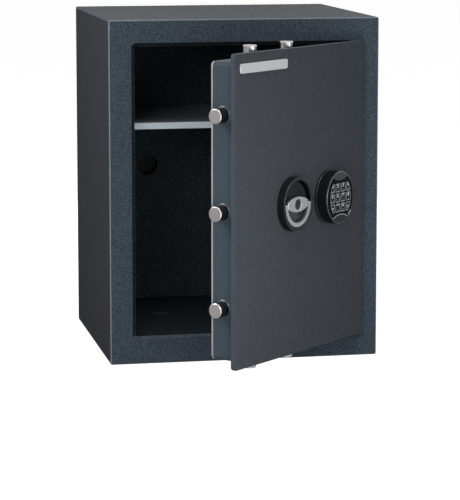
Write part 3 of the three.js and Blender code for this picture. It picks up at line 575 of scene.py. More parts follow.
# Painted shade: a dark colour for the hollow of the hub's dimple
dimple_shade = moulded_plastic("dimple painted shade", (0.030, 0.032, 0.035), 0.4, specular=0.1)
hub_edge = plain_metal("hub edge", (0.60, 0.61, 0.63), 0.36, 0.0006)
trim_silver = plain_metal("trim silver", (0.80, 0.81, 0.82), 0.25, 0.0006)
edge_plastic = moulded_plastic("edge plastic", (0.020, 0.020, 0.021), 0.22, specular=0.9)
# Painted light: a lighter plastic for the lower, forward-looking part of the handle's bowl, lit from above
low_bowl_light_plastic = moulded_plastic("lower bowl painted light", (0.070, 0.070, 0.073), 0.45, specular=0.1)
# Painted shade: a near-black plastic without sheen for the handle bowl's wall
bowl_wall_shade_plastic = moulded_plastic("bowl wall painted shade", (0.004, 0.004, 0.0045), 0.50, specular=0.0)
# The dish floor's lighter plastic, as painted light; the rear plugs use it too as their own colour
dish_floor_light_and_plug_plastic = moulded_plastic("dish floor painted light and plug plastic", (0.021, 0.021, 0.023), 0.45, specular=0.1)
base_plastic = moulded_plastic("base plastic", (0.010, 0.010, 0.011), 0.35, specular=0.25)
black_plastic = moulded_plastic("black plastic", (0.005, 0.005, 0.0055), 0.40, specular=0.16)
rim_plastic = moulded_plastic("rim plastic", (0.006, 0.006, 0.0065), 0.40, specular=0.20)
cap_plastic = moulded_plastic("cap plastic", (0.065, 0.067, 0.070), 0.36, specular=0.1)
low_cap_plastic = moulded_plastic("lower cap plastic", (0.030, 0.031, 0.032), 0.32, specular=0.1)
gloss_black = moulded_plastic("gloss black", (0.002, 0.002, 0.0025), 0.12, 0.002, 0.01, 0.1)
key_print = moulded_plastic("key print", (0.60, 0.61, 0.62), 0.35, 0.0008, 0.02)
underline_print = moulded_plastic("underline print", (0.20, 0.20, 0.21), 0.4, 0.0008, 0.02)
digit_print = moulded_plastic("digit print", (0.90, 0.90, 0.90), 0.4, 0.0008, 0.02)
cast_fill = moulded_plastic("cast fill", (0.045, 0.045, 0.045), 0.85, 0.004, 0.5, 0.1)
board_green = moulded_plastic("board green", (0.03, 0.15, 0.07), 0.35)
battery_wrap = moulded_plastic("battery wrap", (0.05, 0.08, 0.15), 0.35)


# Cabinet

def door_bolts():
    """Each bolt's name with its box when the door is shut."""
    names = [node for node in frame["nodes"] if node.split("_")[0] in ("side", "top", "bottom")]
    return {name: box_of(name) for name in names if "bolt" in name and "bar" not in name}


def bolt_sockets(clearance):
    """Rods where the thrown bolts lie with the door shut."""
    sockets = []
    for name, (low, high) in door_bolts().items():
        centre = (low + high) / 2
        if name.startswith("side"):
            radius = (high.z - low.z) / 2 + clearance
            start = (low.x - clearance, centre.y, centre.z)
            end = (box_of("door_pan")[0].x, centre.y, centre.z)
        else:
            radius = (high.x - low.x) / 2 + clearance
            up = name.startswith("top")
            tip = high.z + clearance if up else low.z - clearance
            pan_low, pan_high = box_of("door_pan")
            start = (centre.x, centre.y, tip)
            end = (centre.x, centre.y, pan_high.z if up else pan_low.z)
        sockets.append(rod("socket", radius, start, end))
    return sockets


def anchor_places(kind):
    """The middles of the record's openings whose names start with the kind."""
    boxes = [o["box_m"] for o in frame["record"]["physics"]["openings"] if o["name"].startswith(kind)]
    return [(Vector(low) + Vector(high)) / 2 for low, high in boxes]


def anchor_rods(diameter, low, high):
    """Rods through the floor, from one height to another, where the anchor bolts go."""
    places = anchor_places("floor_anchor")
    return [rod("floor hole", diameter / 2, (p.x, p.y, low), (p.x, p.y, high)) for p in places]


def back_rods(diameter, front, back):
    """Rods through the back, from one depth to another."""
    places = anchor_places("back_anchor")
    return [rod("back hole", diameter / 2, (p.x, front, p.z), (p.x, back, p.z)) for p in places]


def reveal_box():
    """The clear opening in the front wall."""
    low, high = box_of("inner_liner")
    return (
        Vector((low.x + LINER_FLANGE, low.y, low.z + LINER_FLANGE + LIP_ABOVE_FLOOR)),
        Vector((high.x - LINER_FLANGE, low.y, high.z - LINER_FLANGE)),
    )


def hinge_pockets(left):
    """Blocks where the hinge brackets sit behind the front face, from a given left side."""
    blocks = []
    for level in ("lower", "upper"):
        low, high = box_of(f"hinge_bracket_{level}")
        blocks.append(block(
            "pocket",
            (left, low.y - TINY, low.z - POCKET_ABOVE_BRACKET),
            (high.x + TINY, high.y + POCKET_BEYOND_BRACKET, high.z + POCKET_ABOVE_BRACKET),
        ))
    return blocks


def cabinet_shell():
    low, high = box_of("outer_casing")
    shell = block("cabinet_shell", low, high)
    soften(shell, CASING_EDGE, segments=4)
    hollow = block(
        "hollow",
        (low.x + CASING_WALL, low.y + FRONT_WALL, low.z + CASING_WALL),
        (high.x - CASING_WALL, high.y + OVERRUN, high.z - CASING_WALL),
    )
    reveal_low, reveal_high = reveal_box()
    mouth = block(
        "mouth",
        (reveal_low.x, low.y - OVERRUN, reveal_low.z),
        (reveal_high.x, low.y + FRONT_WALL + OVERRUN, reveal_high.z),
    )
    round_along(mouth, 1, MOUTH_CORNER, 5)
    carve(shell, hollow, mouth)
    mesh = edit(shell, "EDGE")
    grown = Vector((TINY, 0, TINY))
    near, far = reveal_low - grown, reveal_high + grown

    def on_mouth(edge):
        place = middle(edge)
        return abs(place.y - low.y) < TINY and near.x <= place.x <= far.x and near.z <= place.z <= far.z

    choose(mesh, mesh.edges, on_mouth)
    bpy.ops.mesh.bevel(offset=MOUTH_BEVEL, segments=1, affect="EDGES")
    close()
    pocket_left = box_of("hinge_bracket_lower")[0].x - POCKET_BEYOND_BRACKET
    carve(shell, *hinge_pockets(pocket_left), *anchor_rods(ANCHOR_BOLT, low.z - OVERRUN, low.z + FRONT_WALL))
    soften(shell, MOUTH_SOFT, segments=2, sharper_than=35)
    paint(shell, cabinet_coat)
    # The left and right faces get the darker copy of the coat: painted shade
    paint(shell, side_shade_coat, lambda face: abs(face.normal.x) > 0.99 and abs(middle(face).x) > high.x - TINY)

    def outer_edge(face):
        place = middle(face)
        at_side = abs(place.x) > high.x - CASING_EDGE
        at_end = not low.z + CASING_EDGE < place.z < high.z - CASING_EDGE
        return low.y + TINY < place.y < low.y + MOUTH_BEVEL and (at_side or at_end)

    def shaded_bevel(face):
        place = middle(face)
        return low.y < place.y < low.y + MOUTH_BEVEL and face.normal.z < 0.3 and not outer_edge(face)

    # The top face gets the lighter copy of the coat: painted light
    paint(shell, top_face_light_coat, lambda face: face.normal.z > 0.99 and middle(face).z > high.z - TINY)
    # The middle of the front edges' rounding gets the lighter copy: painted highlight
    paint(shell, edge_highlight_coat, lambda face: outer_edge(face) and -0.92 < face.normal.y < -0.38)
    # The opening's left, right and top bevels get the dark copy as painted shade; the bottom bevel, which
    # faces up, keeps the cabinet coat
    paint(shell, mouth_shade_coat, shaded_bevel)
    done(shell, "cabinet", "cabinet_coat", cabinet_coat, "outer_casing")


def liner():
    low, high = box_of("inner_liner")
    inset = LINER_FLANGE - LINER_WALL
    floor = low.z + LINER_FLANGE
    outer = block(
        "compartment_liner",
        (low.x + inset, low.y, low.z + inset),
        (high.x - inset, high.y, high.z - inset),
    )
    reveal_low, reveal_high = reveal_box()
    hollow = block(
        "hollow",
        (reveal_low.x, low.y - OVERRUN, floor),
        (reveal_high.x, high.y - LINER_WALL, reveal_high.z),
    )
    soften(hollow, LINER_FOLD, segments=4)
    front_cut = block("front", (low.x, low.y - OVERRUN, low.z), (high.x, low.y, high.z))
    carve(outer, hollow, front_cut)
    carve(
        outer,
        *hinge_pockets(reveal_high.x - OVERRUN),
        *bolt_sockets(SOCKET_CLEARANCE),
        *anchor_rods(ANCHOR_HOLE, floor - LINER_WALL - OVERRUN, floor + OVERRUN),
        *back_rods(ANCHOR_HOLE, high.y - LINER_WALL - OVERRUN, high.y + OVERRUN),
    )
    soften(outer, FINE_EDGE, segments=2, sharper_than=50)
    paint(outer, interior_coat)
    # Faces that look up or to the right, such as the floor and the left inner wall, get the darker copy of
    # the interior coat: painted shade
    paint(outer, shaded_coat, lambda face: max(face.normal.x, face.normal.z) > 0.9)
    done(outer, "cabinet", "interior_coat", interior_coat, "inner_liner")


def shelf():
    low, high = box_of("shelf")
    board = block("shelf_board", low, high)
    sheet = Vector((SHELF_SHEET, SHELF_SHEET, SHELF_SHEET))
    under = block("under", low + Vector((SHELF_SHEET, SHELF_SHEET, -OVERRUN)), high - sheet)
    carve(board, under)
    soften(board, SHELF_EDGE / 2, segments=3)
    # The shelf is one sheet: its front edge gets the pale sheet, made bright as a painted highlight of the
    # light it catches, and the rest the darker copy as painted shade
    paint(board, pale_sheet)
    paint(board, shelf_top_shade_coat, lambda face: middle(face).y > low.y + SHELF_EDGE)
    done(board, "cabinet", "pale_sheet", pale_sheet, "shelf")


def rear_plugs():
    """Black caps that close the rear anchor holes until the safe is bolted to a wall."""
    low, high = box_of("back_panel")
    for number, place in enumerate(anchor_places("back_anchor"), 1):
        profile = [
            (0, high.y), (PLUG_STEM / 2, high.y), (PLUG_STEM / 2, low.y), (PLUG_HEAD / 2, low.y),
            (PLUG_HEAD / 2 - PLUG_CHAMFER, low.y - PLUG_RISE), (0, low.y - PLUG_RISE - PLUG_CROWN),
        ]
        plug = lathe(f"rear_plug_{number}", profile, place.x, place.z, steps=40)
        done(plug, "cabinet", "black_plastic", dish_floor_light_and_plug_plastic)


cabinet_shell()
liner()
shelf()
rear_plugs()


# Door

def door_plate():
    low, high = box_of("door_plate")
    plate = block("door_front", low, high)
    round_along(plate, 1, PLATE_CORNER)
    bush = (box_of("spindle_bush")[0] + box_of("spindle_bush")[1]) / 2
    cable = (box_of("lock_cable")[0] + box_of("lock_cable")[1]) / 2
    holes = [
        rod("hole", size / 2, (place.x, low.y - OVERRUN, place.z), (place.x, high.y + OVERRUN, place.z))
        for place, size in ((bush, BUSH_HOLE), (cable, CABLE_HOLE))
    ]
    carve(plate, *holes)
    soften(plate, PLATE_EDGE, sharper_than=40)
    paint(plate, door_coat)
    paint(plate, pan_coat, lambda face: middle(face).y > low.y + PLATE_EDGE * 0.9)
    done(plate, "door", "door_coat", door_coat, "door_plate")


def post_places(low, high):
    inset = PAN_WALL + POST / 2
    return [(x, z) for x in (low.x + inset, high.x - inset) for z in (low.z + inset, high.z - inset)]


def door_pan():
    low, high = box_of("door_pan")
    pan = block("door_body", low, high)
    round_along(pan, 1, PAN_CORNER)
    soften(pan, PAN_EDGE, sharper_than=40)
    wall = Vector((PAN_WALL, -OVERRUN, PAN_WALL))
    hollow = block("hollow", low + wall, high - wall)
    round_along(hollow, 1, PAN_CORNER - PAN_WALL)
    carve(pan, hollow, *bolt_sockets(BOLT_CLEARANCE))
    reach = POST / 2
    posts = []
    for x, z in post_places(low, high):
        post = block(
            "post",
            (x - reach, low.y + PAN_EDGE, z - reach),
            (x + reach, high.y - PAN_EDGE, z + reach),
        )
        carve(post, rod("hole", SCREW_HOLE / 2, (x, low.y, z), (x, high.y + OVERRUN, z), 24))
        posts.append(post)
    gather(pan, *posts)
    done(pan, "door", "pan_coat", pan_coat, "door_pan")


def cover_screw(node):
    """A round-headed screw with a cross recess."""
    low, high = box_of(node)
    centre = (low + high) / 2
    size = high - low
    head = high.y - SCREW_HEAD
    radius = size.x / 2
    profile = [(0, low.y), (SCREW_SHANK / 2, low.y), (SCREW_SHANK / 2, head), (radius, head)]
    profile += [(radius * share, head + SCREW_HEAD * rise) for share, rise in SCREW_DOME]
    profile.append((0, high.y))
    screw = lathe(f"{node}_turned", profile, centre.x, centre.z, steps=40)
    arm, half = radius * SCREW_SLOT_REACH, SCREW_SLOT / 2
    bottom = high.y - SCREW_HEAD * SCREW_SLOT_DEPTH
    for wide, tall in ((arm, half), (half, arm)):
        slot = block(
            "slot",
            (centre.x - wide, bottom, centre.z - tall),
            (centre.x + wide, high.y + OVERRUN, centre.z + tall),
        )
        carve(screw, slot)
    done(screw, "door", "zinc_steel", zinc_plate, node)


def rear_cover():
    low, high = box_of("rear_cover")
    cover = block("cover_sheet", low, high)
    round_along(cover, 1, PAN_CORNER)
    holes = [
        rod("hole", SCREW_HOLE / 2, (x, low.y - OVERRUN, z), (x, high.y + OVERRUN, z))
        for x, z in post_places(low, high)
    ]
    carve(cover, *holes)
    soften(cover, COVER_EDGE, sharper_than=50)
    done(cover, "door", "pale_sheet", cover_sheet, "rear_cover")


def badge():
    low, high = box_of("front_badge")
    plate = block("blank_badge", low, high)
    round_along(plate, 1, BADGE_CORNER)
    soften(plate, BADGE_EDGE, sharper_than=40)
    done(plate, "door", "satin_metal", badge_metal, "front_badge")


door_plate()
door_pan()
rear_cover()
badge()
for number in range(1, 5):
    cover_screw(f"cover_screw_{number}")


# Bolts

def bolt(name, low, high):
    """A plated round bolt with a chamfered tip and a flat turned end."""
    centre = (low + high) / 2
    size = high - low
    along = 0 if name.startswith("side") else 2
    tip_is_low = not name.startswith("top")
    radius = size[2 - along] / 2
    length = size[along]
    profile = [
        (0, 0), (radius - BOLT_CHAMFER - BOLT_LIP, 0), (radius - BOLT_CHAMFER, BOLT_LIP / 4),
        (radius, BOLT_CHAMFER), (radius, length), (0, length),
    ]
    piece = lathe(f"{name}_pin", profile, 0, 0, steps=64)
    soften(piece, BOLT_EDGE, segments=2, sharper_than=25)
    # The side bolts' barrels get the dark copy as a painted reflection
    paint(piece, barrel_dark_reflection if name.startswith("side") else bright_steel)
    paint(piece, bolt_face, lambda face: face.normal.y < -0.999)
    paint(piece, bolt_face, lambda face: -0.999 <= face.normal.y < -0.1 and face.normal.z < 0.3)
    # The chamfer's upward faces get the bright steel as a painted highlight from above; the rest of the
    # chamfer and the end keep the turned face
    paint(piece, bright_steel, lambda face: -0.999 <= face.normal.y < -0.1 and face.normal.z >= 0.3)
    way = Vector((0, 0, 0))
    way[along] = 1 if tip_is_low else -1
    turn = Vector((0, 1, 0)).rotation_difference(way).to_matrix().to_4x4()
    tip = centre.copy()
    tip[along] = low[along] if tip_is_low else high[along]
    piece.data.transform(Matrix.Translation(tip) @ turn)
    body = {"side": "side_bolts", "top": "top_bolts", "bottom": "bottom_bolts"}[name.split("_")[0]]
    done(piece, body, "bright_steel", bright_steel, name)


def side_bush(name, low, high):
    """A guide bush in the door's side, round a side bolt, with a sloped rim; its dark colour is painted shade
    of the hole round the bolt.
    """
    centre = (low + high) / 2
    side = box_of("door_pan")[0].x
    inner = (high.z - low.z) / 2 + BUSH_CLEARANCE
    outer = (high.z - low.z) / 2 + BOLT_CLEARANCE - RUNNING_GAP
    flange = inner + BUSH_FLANGE
    profile = [
        (inner, BUSH_DEPTH), (inner, -BUSH_RISE), (flange, 0),
        (outer, 0), (outer, BUSH_DEPTH), (inner, BUSH_DEPTH),
    ]
    bush = lathe(f"{name}_bush", profile, 0, 0, steps=64)
    turn = Vector((0, 1, 0)).rotation_difference(Vector((1, 0, 0))).to_matrix().to_4x4()
    bush.data.transform(Matrix.Translation((side, centre.y, centre.z)) @ turn)
    done(bush, "door", "black_plastic", bush_shade_plastic)


for bolt_name, (bolt_low, bolt_high) in door_bolts().items():
    bolt(bolt_name, bolt_low, bolt_high)
    if bolt_name.startswith("side"):
        side_bush(bolt_name, bolt_low, bolt_high)


# Handle

handle_low, handle_high = box_of("handle_housing")
handle_centre = (handle_low + handle_high) / 2
hub_front = box_of("handle_hub")[0].y


def disc(name, radius, front, back, centre, sides=96):
    """A disc whose flat faces look to the front and the back."""
    return rod(name, radius, (centre.x, front, centre.z), (centre.x, back, centre.z), sides)


def handle_dish():
    size = handle_high - handle_low
    outer, back, rim = size.z / 2, handle_high.y, handle_low.y
    inner = outer - RIM_DRAFT - RIM_WIDTH
    ground = back - DISH_FLOOR
    profile = [
        (SPINDLE_HOLE / 2, back), (outer, back),
        (outer - RIM_DRAFT, rim + RIM_ROUND), (outer - RIM_DRAFT - RIM_ROUND * 0.3, rim + RIM_ROUND * 0.3),
        (outer - RIM_DRAFT - RIM_ROUND, rim), (inner + RIM_ROUND, rim),
        (inner + RIM_ROUND * 0.3, rim + RIM_ROUND * 0.3), (inner, rim + RIM_ROUND),
    ]
    profile += quarter_round(inner, ground, DISH_FILLET, -DISH_FILLET)
    profile += [(SPINDLE_HOLE / 2, ground), (SPINDLE_HOLE / 2, back)]
    dish = lathe("handle_dish_moulding", profile, handle_centre.x, handle_centre.z, size.x / size.z)
    paint(dish, rim_plastic)
    paint(dish, edge_plastic, lambda face: rim + TINY < middle(face).y < rim + RIM_ROUND)

    def in_bowl(face):
        place = middle(face)
        off = Vector((place.x, 0, place.z)) - Vector((handle_centre.x, 0, handle_centre.z))
        return place.y > rim + RIM_ROUND and off.length < inner + TINY

    def lit_low_bowl(face):
        return in_bowl(face) and middle(face).z < handle_centre.z - HUB_HEIGHT / 2 and face.normal.y < -0.1

    # Inside the bowl the wall is near black as painted shade, the floor lighter as painted light, and its
    # lower part lighter still as painted light from above
    paint(dish, bowl_wall_shade_plastic, in_bowl)
    paint(dish, dish_floor_light_and_plug_plastic, lambda face: middle(face).y > ground - DISH_FILLET / 4 and in_bowl(face))
    paint(dish, low_bowl_light_plastic, lit_low_bowl)
    done(dish, "door", "black_plastic", rim_plastic, "handle_housing")


def dimple_cutter():
    radius, bottom = DIMPLE / 2, hub_front + DIMPLE_DEPTH
    profile = [(0, bottom), *reversed(quarter_round(radius, bottom, DIMPLE_ROUND, -DIMPLE_ROUND))]
    profile += [(radius, hub_front - OVERRUN), (0, hub_front - OVERRUN)]
    return lathe("dimple", profile, handle_centre.x, handle_centre.z)


def handle_hub():
    """An eye-shaped plate between two arcs, cut to the ring's inside, on a round boss."""
    half_span, half_height = HUB_ARC_SPAN / 2, HUB_HEIGHT / 2
    radius = (half_span ** 2 + half_height ** 2) / (2 * half_height)
    away = Vector((0, 0, radius - half_height))
    back = hub_front + HUB_THICKNESS
    hub = disc("eye_hub", radius, hub_front, back, handle_centre - away, 192)
    upper = disc("upper", radius, hub_front - OVERRUN, back + OVERRUN, handle_centre + away, 192)
    inside = RING_OUTER / 2 - RING_WIDTH - RING_HUB_GAP
    limit = disc("limit", inside, hub_front - OVERRUN, back + OVERRUN, handle_centre)
    keep_inside(hub, upper, limit)
    carve(hub, dimple_cutter())
    soften(hub, HUB_EDGE, segments=3, sharper_than=40)
    boss_back = handle_high.y - DISH_FLOOR - RUNNING_GAP
    boss = disc("boss", HUB_BOSS / 2, back - RUNNING_GAP, boss_back, handle_centre)
    carve(boss, disc("bore", SPINDLE_HOLE / 2, back - OVERRUN, boss_back + OVERRUN, handle_centre))
    gather(hub, boss)
    paint(hub, satin_silver)
    deep = Vector((handle_centre.x, 0, handle_centre.z))

    def in_dimple(face):
        place = middle(face)
        off = Vector((place.x, 0, place.z)) - deep
        return off.length < DIMPLE / 2 - TINY and hub_front + HUB_EDGE < place.y < back - OVERRUN / 2

    # The hollow of the dimple is painted dark: painted shade
    paint(hub, dimple_shade, in_dimple)
    paint(hub, hub_edge, lambda face: hub_front + TINY < middle(face).y < hub_front + HUB_EDGE)
    done(hub, "handle", "satin_metal", satin_silver, "handle_hub")


def pull_ring():
    """Half a flat ring that hangs from two stubs in the hub's ends."""
    outer, inner = RING_OUTER / 2, RING_OUTER / 2 - RING_WIDTH
    back = hub_front + RING_THICKNESS
    profile = [(inner, hub_front), (outer, hub_front), (outer, back), (inner, back), (inner, hub_front)]
    ring = lathe("fold_out_ring", profile, handle_centre.x, handle_centre.z, steps=160)
    level = handle_centre.z - TRUNNION_DROP
    depth = hub_front + RING_THICKNESS / 2
    upper_half = block(
        "upper", (handle_centre.x - RING_OUTER, hub_front - OVERRUN, level),
        (handle_centre.x + RING_OUTER, back + OVERRUN, level + RING_OUTER),
    )
    carve(ring, upper_half)
    ear = RING_THICKNESS / 2
    ear_end = math.sqrt(outer ** 2 - ear ** 2) - RUNNING_GAP
    for side in (-1, 1):
        x = handle_centre.x
        ears = rod("ear", ear, (x + side * inner, depth, level), (x + side * ear_end, depth, level))
        stub_start = inner - TRUNNION_LENGTH + RUNNING_GAP
        stub = rod(
            "stub", TRUNNION / 2,
            (x + side * stub_start, depth, level), (x + side * (inner + ear), depth, level),
        )
        weld(ring, ears, stub)
    soften(ring, RING_EDGE, segments=3, sharper_than=50)
    done(ring, "pull_ring", "satin_metal", satin_silver, "pull_ring")


handle_dish()
handle_hub()
pull_ring()


# Keypad

keypad_low, keypad_high = box_of("keypad_housing")
keypad_centre = (keypad_low + keypad_high) / 2
face_front = keypad_low.y
face_half = (keypad_high.z - keypad_low.z) / 2 - KEYPAD_FLARE
field_front = face_front + FIELD_DEPTH


def oval(name, margin, front, back):
    """An upright oval slab that follows the keypad's face at a margin inside its flat."""
    half = face_half - KEYPAD_EDGE - margin
    piece = disc(name, half, front, back, keypad_centre, 128)
    edit(piece, "VERT")
    bpy.ops.mesh.select_all(action="SELECT")
    bpy.ops.transform.resize(value=(FIELD_SQUASH, 1, 1), center_override=keypad_centre)
    close()
    return piece


def cap_disc(side, front, back, grow=0.0):
    """The round whose overlap with the face makes its upper (1) or lower (-1) cap."""
    away = side * (face_half - CAP_HEIGHT + CAP_RADIUS)
    return disc("cap", CAP_RADIUS + grow, front, back, keypad_centre + Vector((0, 0, away)), 160)


def key_place(column, row):
    x = keypad_centre.x + (column - (KEY_COLUMNS - 1) / 2) * KEY_PITCH_X
    z = keypad_centre.z + ((KEY_ROWS - 1) / 2 - row) * KEY_PITCH_Z
    return x, z


def key_block(name, column, row, grow, front, back):
    """A key's block, or with a growth the hole round it, cut to the oval of the field."""
    x, z = key_place(column, row)
    half = Vector((KEY_WIDTH / 2 + grow, 0, KEY_HEIGHT / 2 + grow))
    piece = block(name, Vector((x, front, z)) - half, Vector((x, back, z)) + half)
    round_along(piece, 1, KEY_CORNER, 5)
    return keep_inside(piece, oval("limit", KEY_MARGIN - grow, front - OVERRUN, back + OVERRUN))


def keypad_base():
    low, high = box_of("keypad_base")
    size = high - low
    outer = size.z / 2
    hole = CABLE_HOLE / 4
    profile = [
        (hole, high.y), (outer, high.y), (outer, low.y + BASE_EDGE),
        (outer - BASE_EDGE * 0.3, low.y + BASE_EDGE * 0.3), (outer - BASE_EDGE, low.y), (hole, low.y),
        (hole, high.y),
    ]
    base = lathe("keypad_base_ring", profile, keypad_centre.x, keypad_centre.z, size.x / size.z)
    paint(base, base_plastic)
    paint(base, edge_plastic, lambda face: low.y + TINY < middle(face).y < low.y + BASE_EDGE)
    done(base, "door", "black_plastic", base_plastic, "keypad_base")


def keypad_body():
    back = keypad_high.y
    profile = [(0, back), (face_half + KEYPAD_VISIBLE_FLARE, back), (face_half, face_front + KEYPAD_EDGE)]
    profile += quarter_round(face_half, face_front, KEYPAD_EDGE, KEYPAD_EDGE)[1:]
    profile.append((0, face_front))
    body = lathe("keypad_body", profile, keypad_centre.x, keypad_centre.z, FIELD_SQUASH, steps=128)
    hollow = oval("hollow", KEYPAD_WALL - KEYPAD_EDGE, face_front + KEYPAD_HOLLOW_DEPTH, back + OVERRUN)
    field = oval("field", 0, face_front - OVERRUN, field_front)
    carve(field, cap_disc(1, face_front - 2 * OVERRUN, field_front + OVERRUN))
    holes_end = face_front + KEYPAD_HOLLOW_DEPTH + OVERRUN
    holes = [
        key_block("key_hole", column, row, KEY_GAP, face_front, holes_end)
        for row in range(KEY_ROWS) for column in range(KEY_COLUMNS)
    ]
    carve(body, hollow, field, gather(*holes))

    def flat_at(level):
        return lambda face: face.normal.y < -0.999 and abs(middle(face).y - level) < TINY

    def on_edge(face):
        return face.normal.y > -0.999 and face_front < middle(face).y < face_front + KEYPAD_EDGE / 2

    paint(body, black_plastic)
    paint(body, cap_plastic, flat_at(face_front))
    paint(body, gloss_black, flat_at(field_front))
    paint(body, edge_plastic, on_edge)
    done(body, "door", "black_plastic", black_plastic, "keypad_housing")


def lower_cap():
    low, high = box_of("battery_cover")
    cap = oval("lower_cap", RUNNING_GAP, low.y, high.y)
    keep_inside(cap, cap_disc(-1, low.y - OVERRUN, high.y + OVERRUN))
    dent = keypad_centre + Vector((0, 0, -face_half + CAP_HEIGHT / 2))
    carve(cap, disc("lamp_hole", LAMP / 2 + RUNNING_GAP / 2, low.y - OVERRUN, high.y - RUNNING_GAP, dent, 32))
    soften(cap, CAP_EDGE, segments=2, sharper_than=50)
    done(cap, "door", "grey_plastic", low_cap_plastic, "battery_cover")
    back = high.y - LAMP_INSET
    profile = [(0, back), (LAMP / 2, back), (LAMP / 2, low.y + LAMP_CROWN), (LAMP / 4, low.y), (0, low.y)]
    lamp_lens = lathe("lamp_lens", profile, dent.x, dent.z, steps=32)
    done(lamp_lens, "door", "black_plastic", gloss_black)
    trim = cap_disc(-1, face_front - CAP_TRIM_RISE, high.y, CAP_TRIM)
    trim.name = "cap_trim"
    keep_inside(trim, oval("limit", RUNNING_GAP, face_front - OVERRUN, high.y + OVERRUN))
    carve(trim, cap_disc(-1, face_front - OVERRUN, high.y + OVERRUN, RUNNING_GAP / 3))
    soften(trim, FINE_EDGE, segments=2, sharper_than=50)
    done(trim, "door", "satin_metal", trim_silver)


def side_highlight_strip():
    """A short bright strip on the face's edge, beside the lower cap: a painted highlight of the light on the
    field's recess wall.
    """
    front, back = face_front - CAP_TRIM_RISE, field_front
    strip = oval("side_highlight_strip", -SIDE_HIGHLIGHT / 2, front, back)
    carve(strip, oval("inside", SIDE_HIGHLIGHT / 2, front - OVERRUN, back + OVERRUN))
    angle = math.radians(SIDE_HIGHLIGHT_ANGLE)
    rim = face_half - KEYPAD_EDGE
    place = keypad_centre + Vector((rim * FIELD_SQUASH * math.cos(angle), 0, rim * math.sin(angle)))
    keep_inside(strip, disc("reach", SIDE_HIGHLIGHT_REACH, front - OVERRUN, back + OVERRUN, place))
    soften(strip, FINE_EDGE, segments=2, sharper_than=50)
    done(strip, "door", "satin_metal", trim_silver)


def key_digit(text, x, z, front):
    clear_selection()
    bpy.ops.object.text_add(location=(x, front - DIGIT_THICKNESS, z), rotation=(math.pi / 2, 0, 0))
    digit = bpy.context.object
    digit.data.body = text
    digit.data.size = DIGIT_SIZE
    digit.data.align_x = "CENTER"
    digit.data.align_y = "CENTER"
    digit.data.extrude = DIGIT_THICKNESS
    digit.data.offset = DIGIT_WEIGHT
    bpy.ops.object.convert(target="MESH")
    piece = named("digit")
    paint(piece, digit_print)
    return piece


def underline(x, z, front):
    """A small plain bar under a digit, where such keys carry fine print."""
    centre = Vector((x + UNDERLINE_SHIFT, front, z - UNDERLINE_DROP))
    half = Vector((UNDERLINE_WIDTH / 2, DIGIT_THICKNESS, UNDERLINE_HEIGHT / 2))
    bar = block("underline", centre - half, centre + half)
    round_along(bar, 1, UNDERLINE_HEIGHT / 3, 3)
    paint(bar, underline_print)
    return bar


def key(number, label):
    """A glossy key with a pale printed edge and its digit."""
    row, column = divmod(number - 1, KEY_COLUMNS)
    low, high = box_of(f"key_{number}")
    cap = key_block(f"key_cap_{number}", column, row, 0, low.y, high.y)
    paint(cap, gloss_black)
    print_frame(cap, low.y)
    x, z = key_place(column, row)
    if row != 1 and column in (0, KEY_COLUMNS - 1):
        x += DIGIT_SHIFT if column == 0 else -DIGIT_SHIFT
    front = low.y + KEY_SINK
    if label.isdigit():
        mark = gather(key_digit(label, x, z + DIGIT_RISE, front), underline(x, z, front))
    else:
        place = Vector((x, 0, z))
        sides = 3 if label == "triangle" else 40
        mark = disc("mark", MARK / 2, front - DIGIT_THICKNESS, front + DIGIT_THICKNESS, place, sides)
        if label == "circle":
            carve(mark, disc("hole", MARK / 2 - MARK_LINE, front - OVERRUN, front + OVERRUN, place, sides))
        paint(mark, digit_print)
    gather(cap, mark)
    done(cap, f"key_{number}", "key_plastic", gloss_black, f"key_{number}")


def print_frame(cap, front):
    """Insets a key's front face and gives the rim around it the pale print."""
    cap.data.materials.append(key_print)
    mesh = edit(cap, "FACE")
    choose(mesh, mesh.faces, lambda face: face.normal.y < -0.99 and abs(middle(face).y - front) < TINY)
    bpy.ops.mesh.inset(thickness=KEY_EDGE, depth=0)
    bpy.ops.mesh.inset(thickness=KEY_FRAME, depth=0)
    bpy.ops.mesh.select_more()
    cap.active_material_index = 1
    bpy.ops.object.material_slot_assign()
    bpy.ops.mesh.select_less()
    cap.active_material_index = 0
    bpy.ops.object.material_slot_assign()
    bpy.ops.mesh.inset(thickness=KEY_SINK / 2, depth=-KEY_SINK)
    close()


keypad_base()
keypad_body()
lower_cap()
side_highlight_strip()
KEY_LABELS = ("1", "2", "3", "4", "5", "6", "7", "8", "triangle", "9", "0", "circle")
for key_number, key_label in enumerate(KEY_LABELS, 1):
    key(key_number, key_label)


# Plain CAD nodes keep their shape and get a finish

FINISHES = {
    "cabinet_coat": cabinet_coat, "interior_coat": interior_coat, "fill_board": cast_fill,
    "pale_sheet": pale_sheet, "door_coat": door_coat, "pan_coat": pan_coat,
    "zinc_steel": zinc_plate, "bright_steel": bright_steel,
    "satin_metal": satin_silver, "black_plastic": black_plastic, "grey_plastic": cap_plastic,
    "key_plastic": gloss_black, "board_green": board_green, "battery_wrap": battery_wrap,
}
slot_of = {part["node"]: part["material_slot"] for part in frame["record"]["subparts"]}
for node_name, node in frame["nodes"].items():
    node.data.materials.clear()
    node.data.materials.append(FINISHES[slot_of[node_name]])


# Floor, light and camera

CAMERA_PLACE = (-0.7438, -3.8090, 0.7856)
CAMERA_YAW = 11.263
CAMERA_PITCH = 7.791
CAMERA_SHIFT = 0.12
LENS = 164.72
AIM = (0, -0.1, 0.28)
AMBIENT = 0.06
FLOOR_GREY = 0.4
FLOOR_GLOW = 0.965
FLOOR_MIRRORED = 0.3


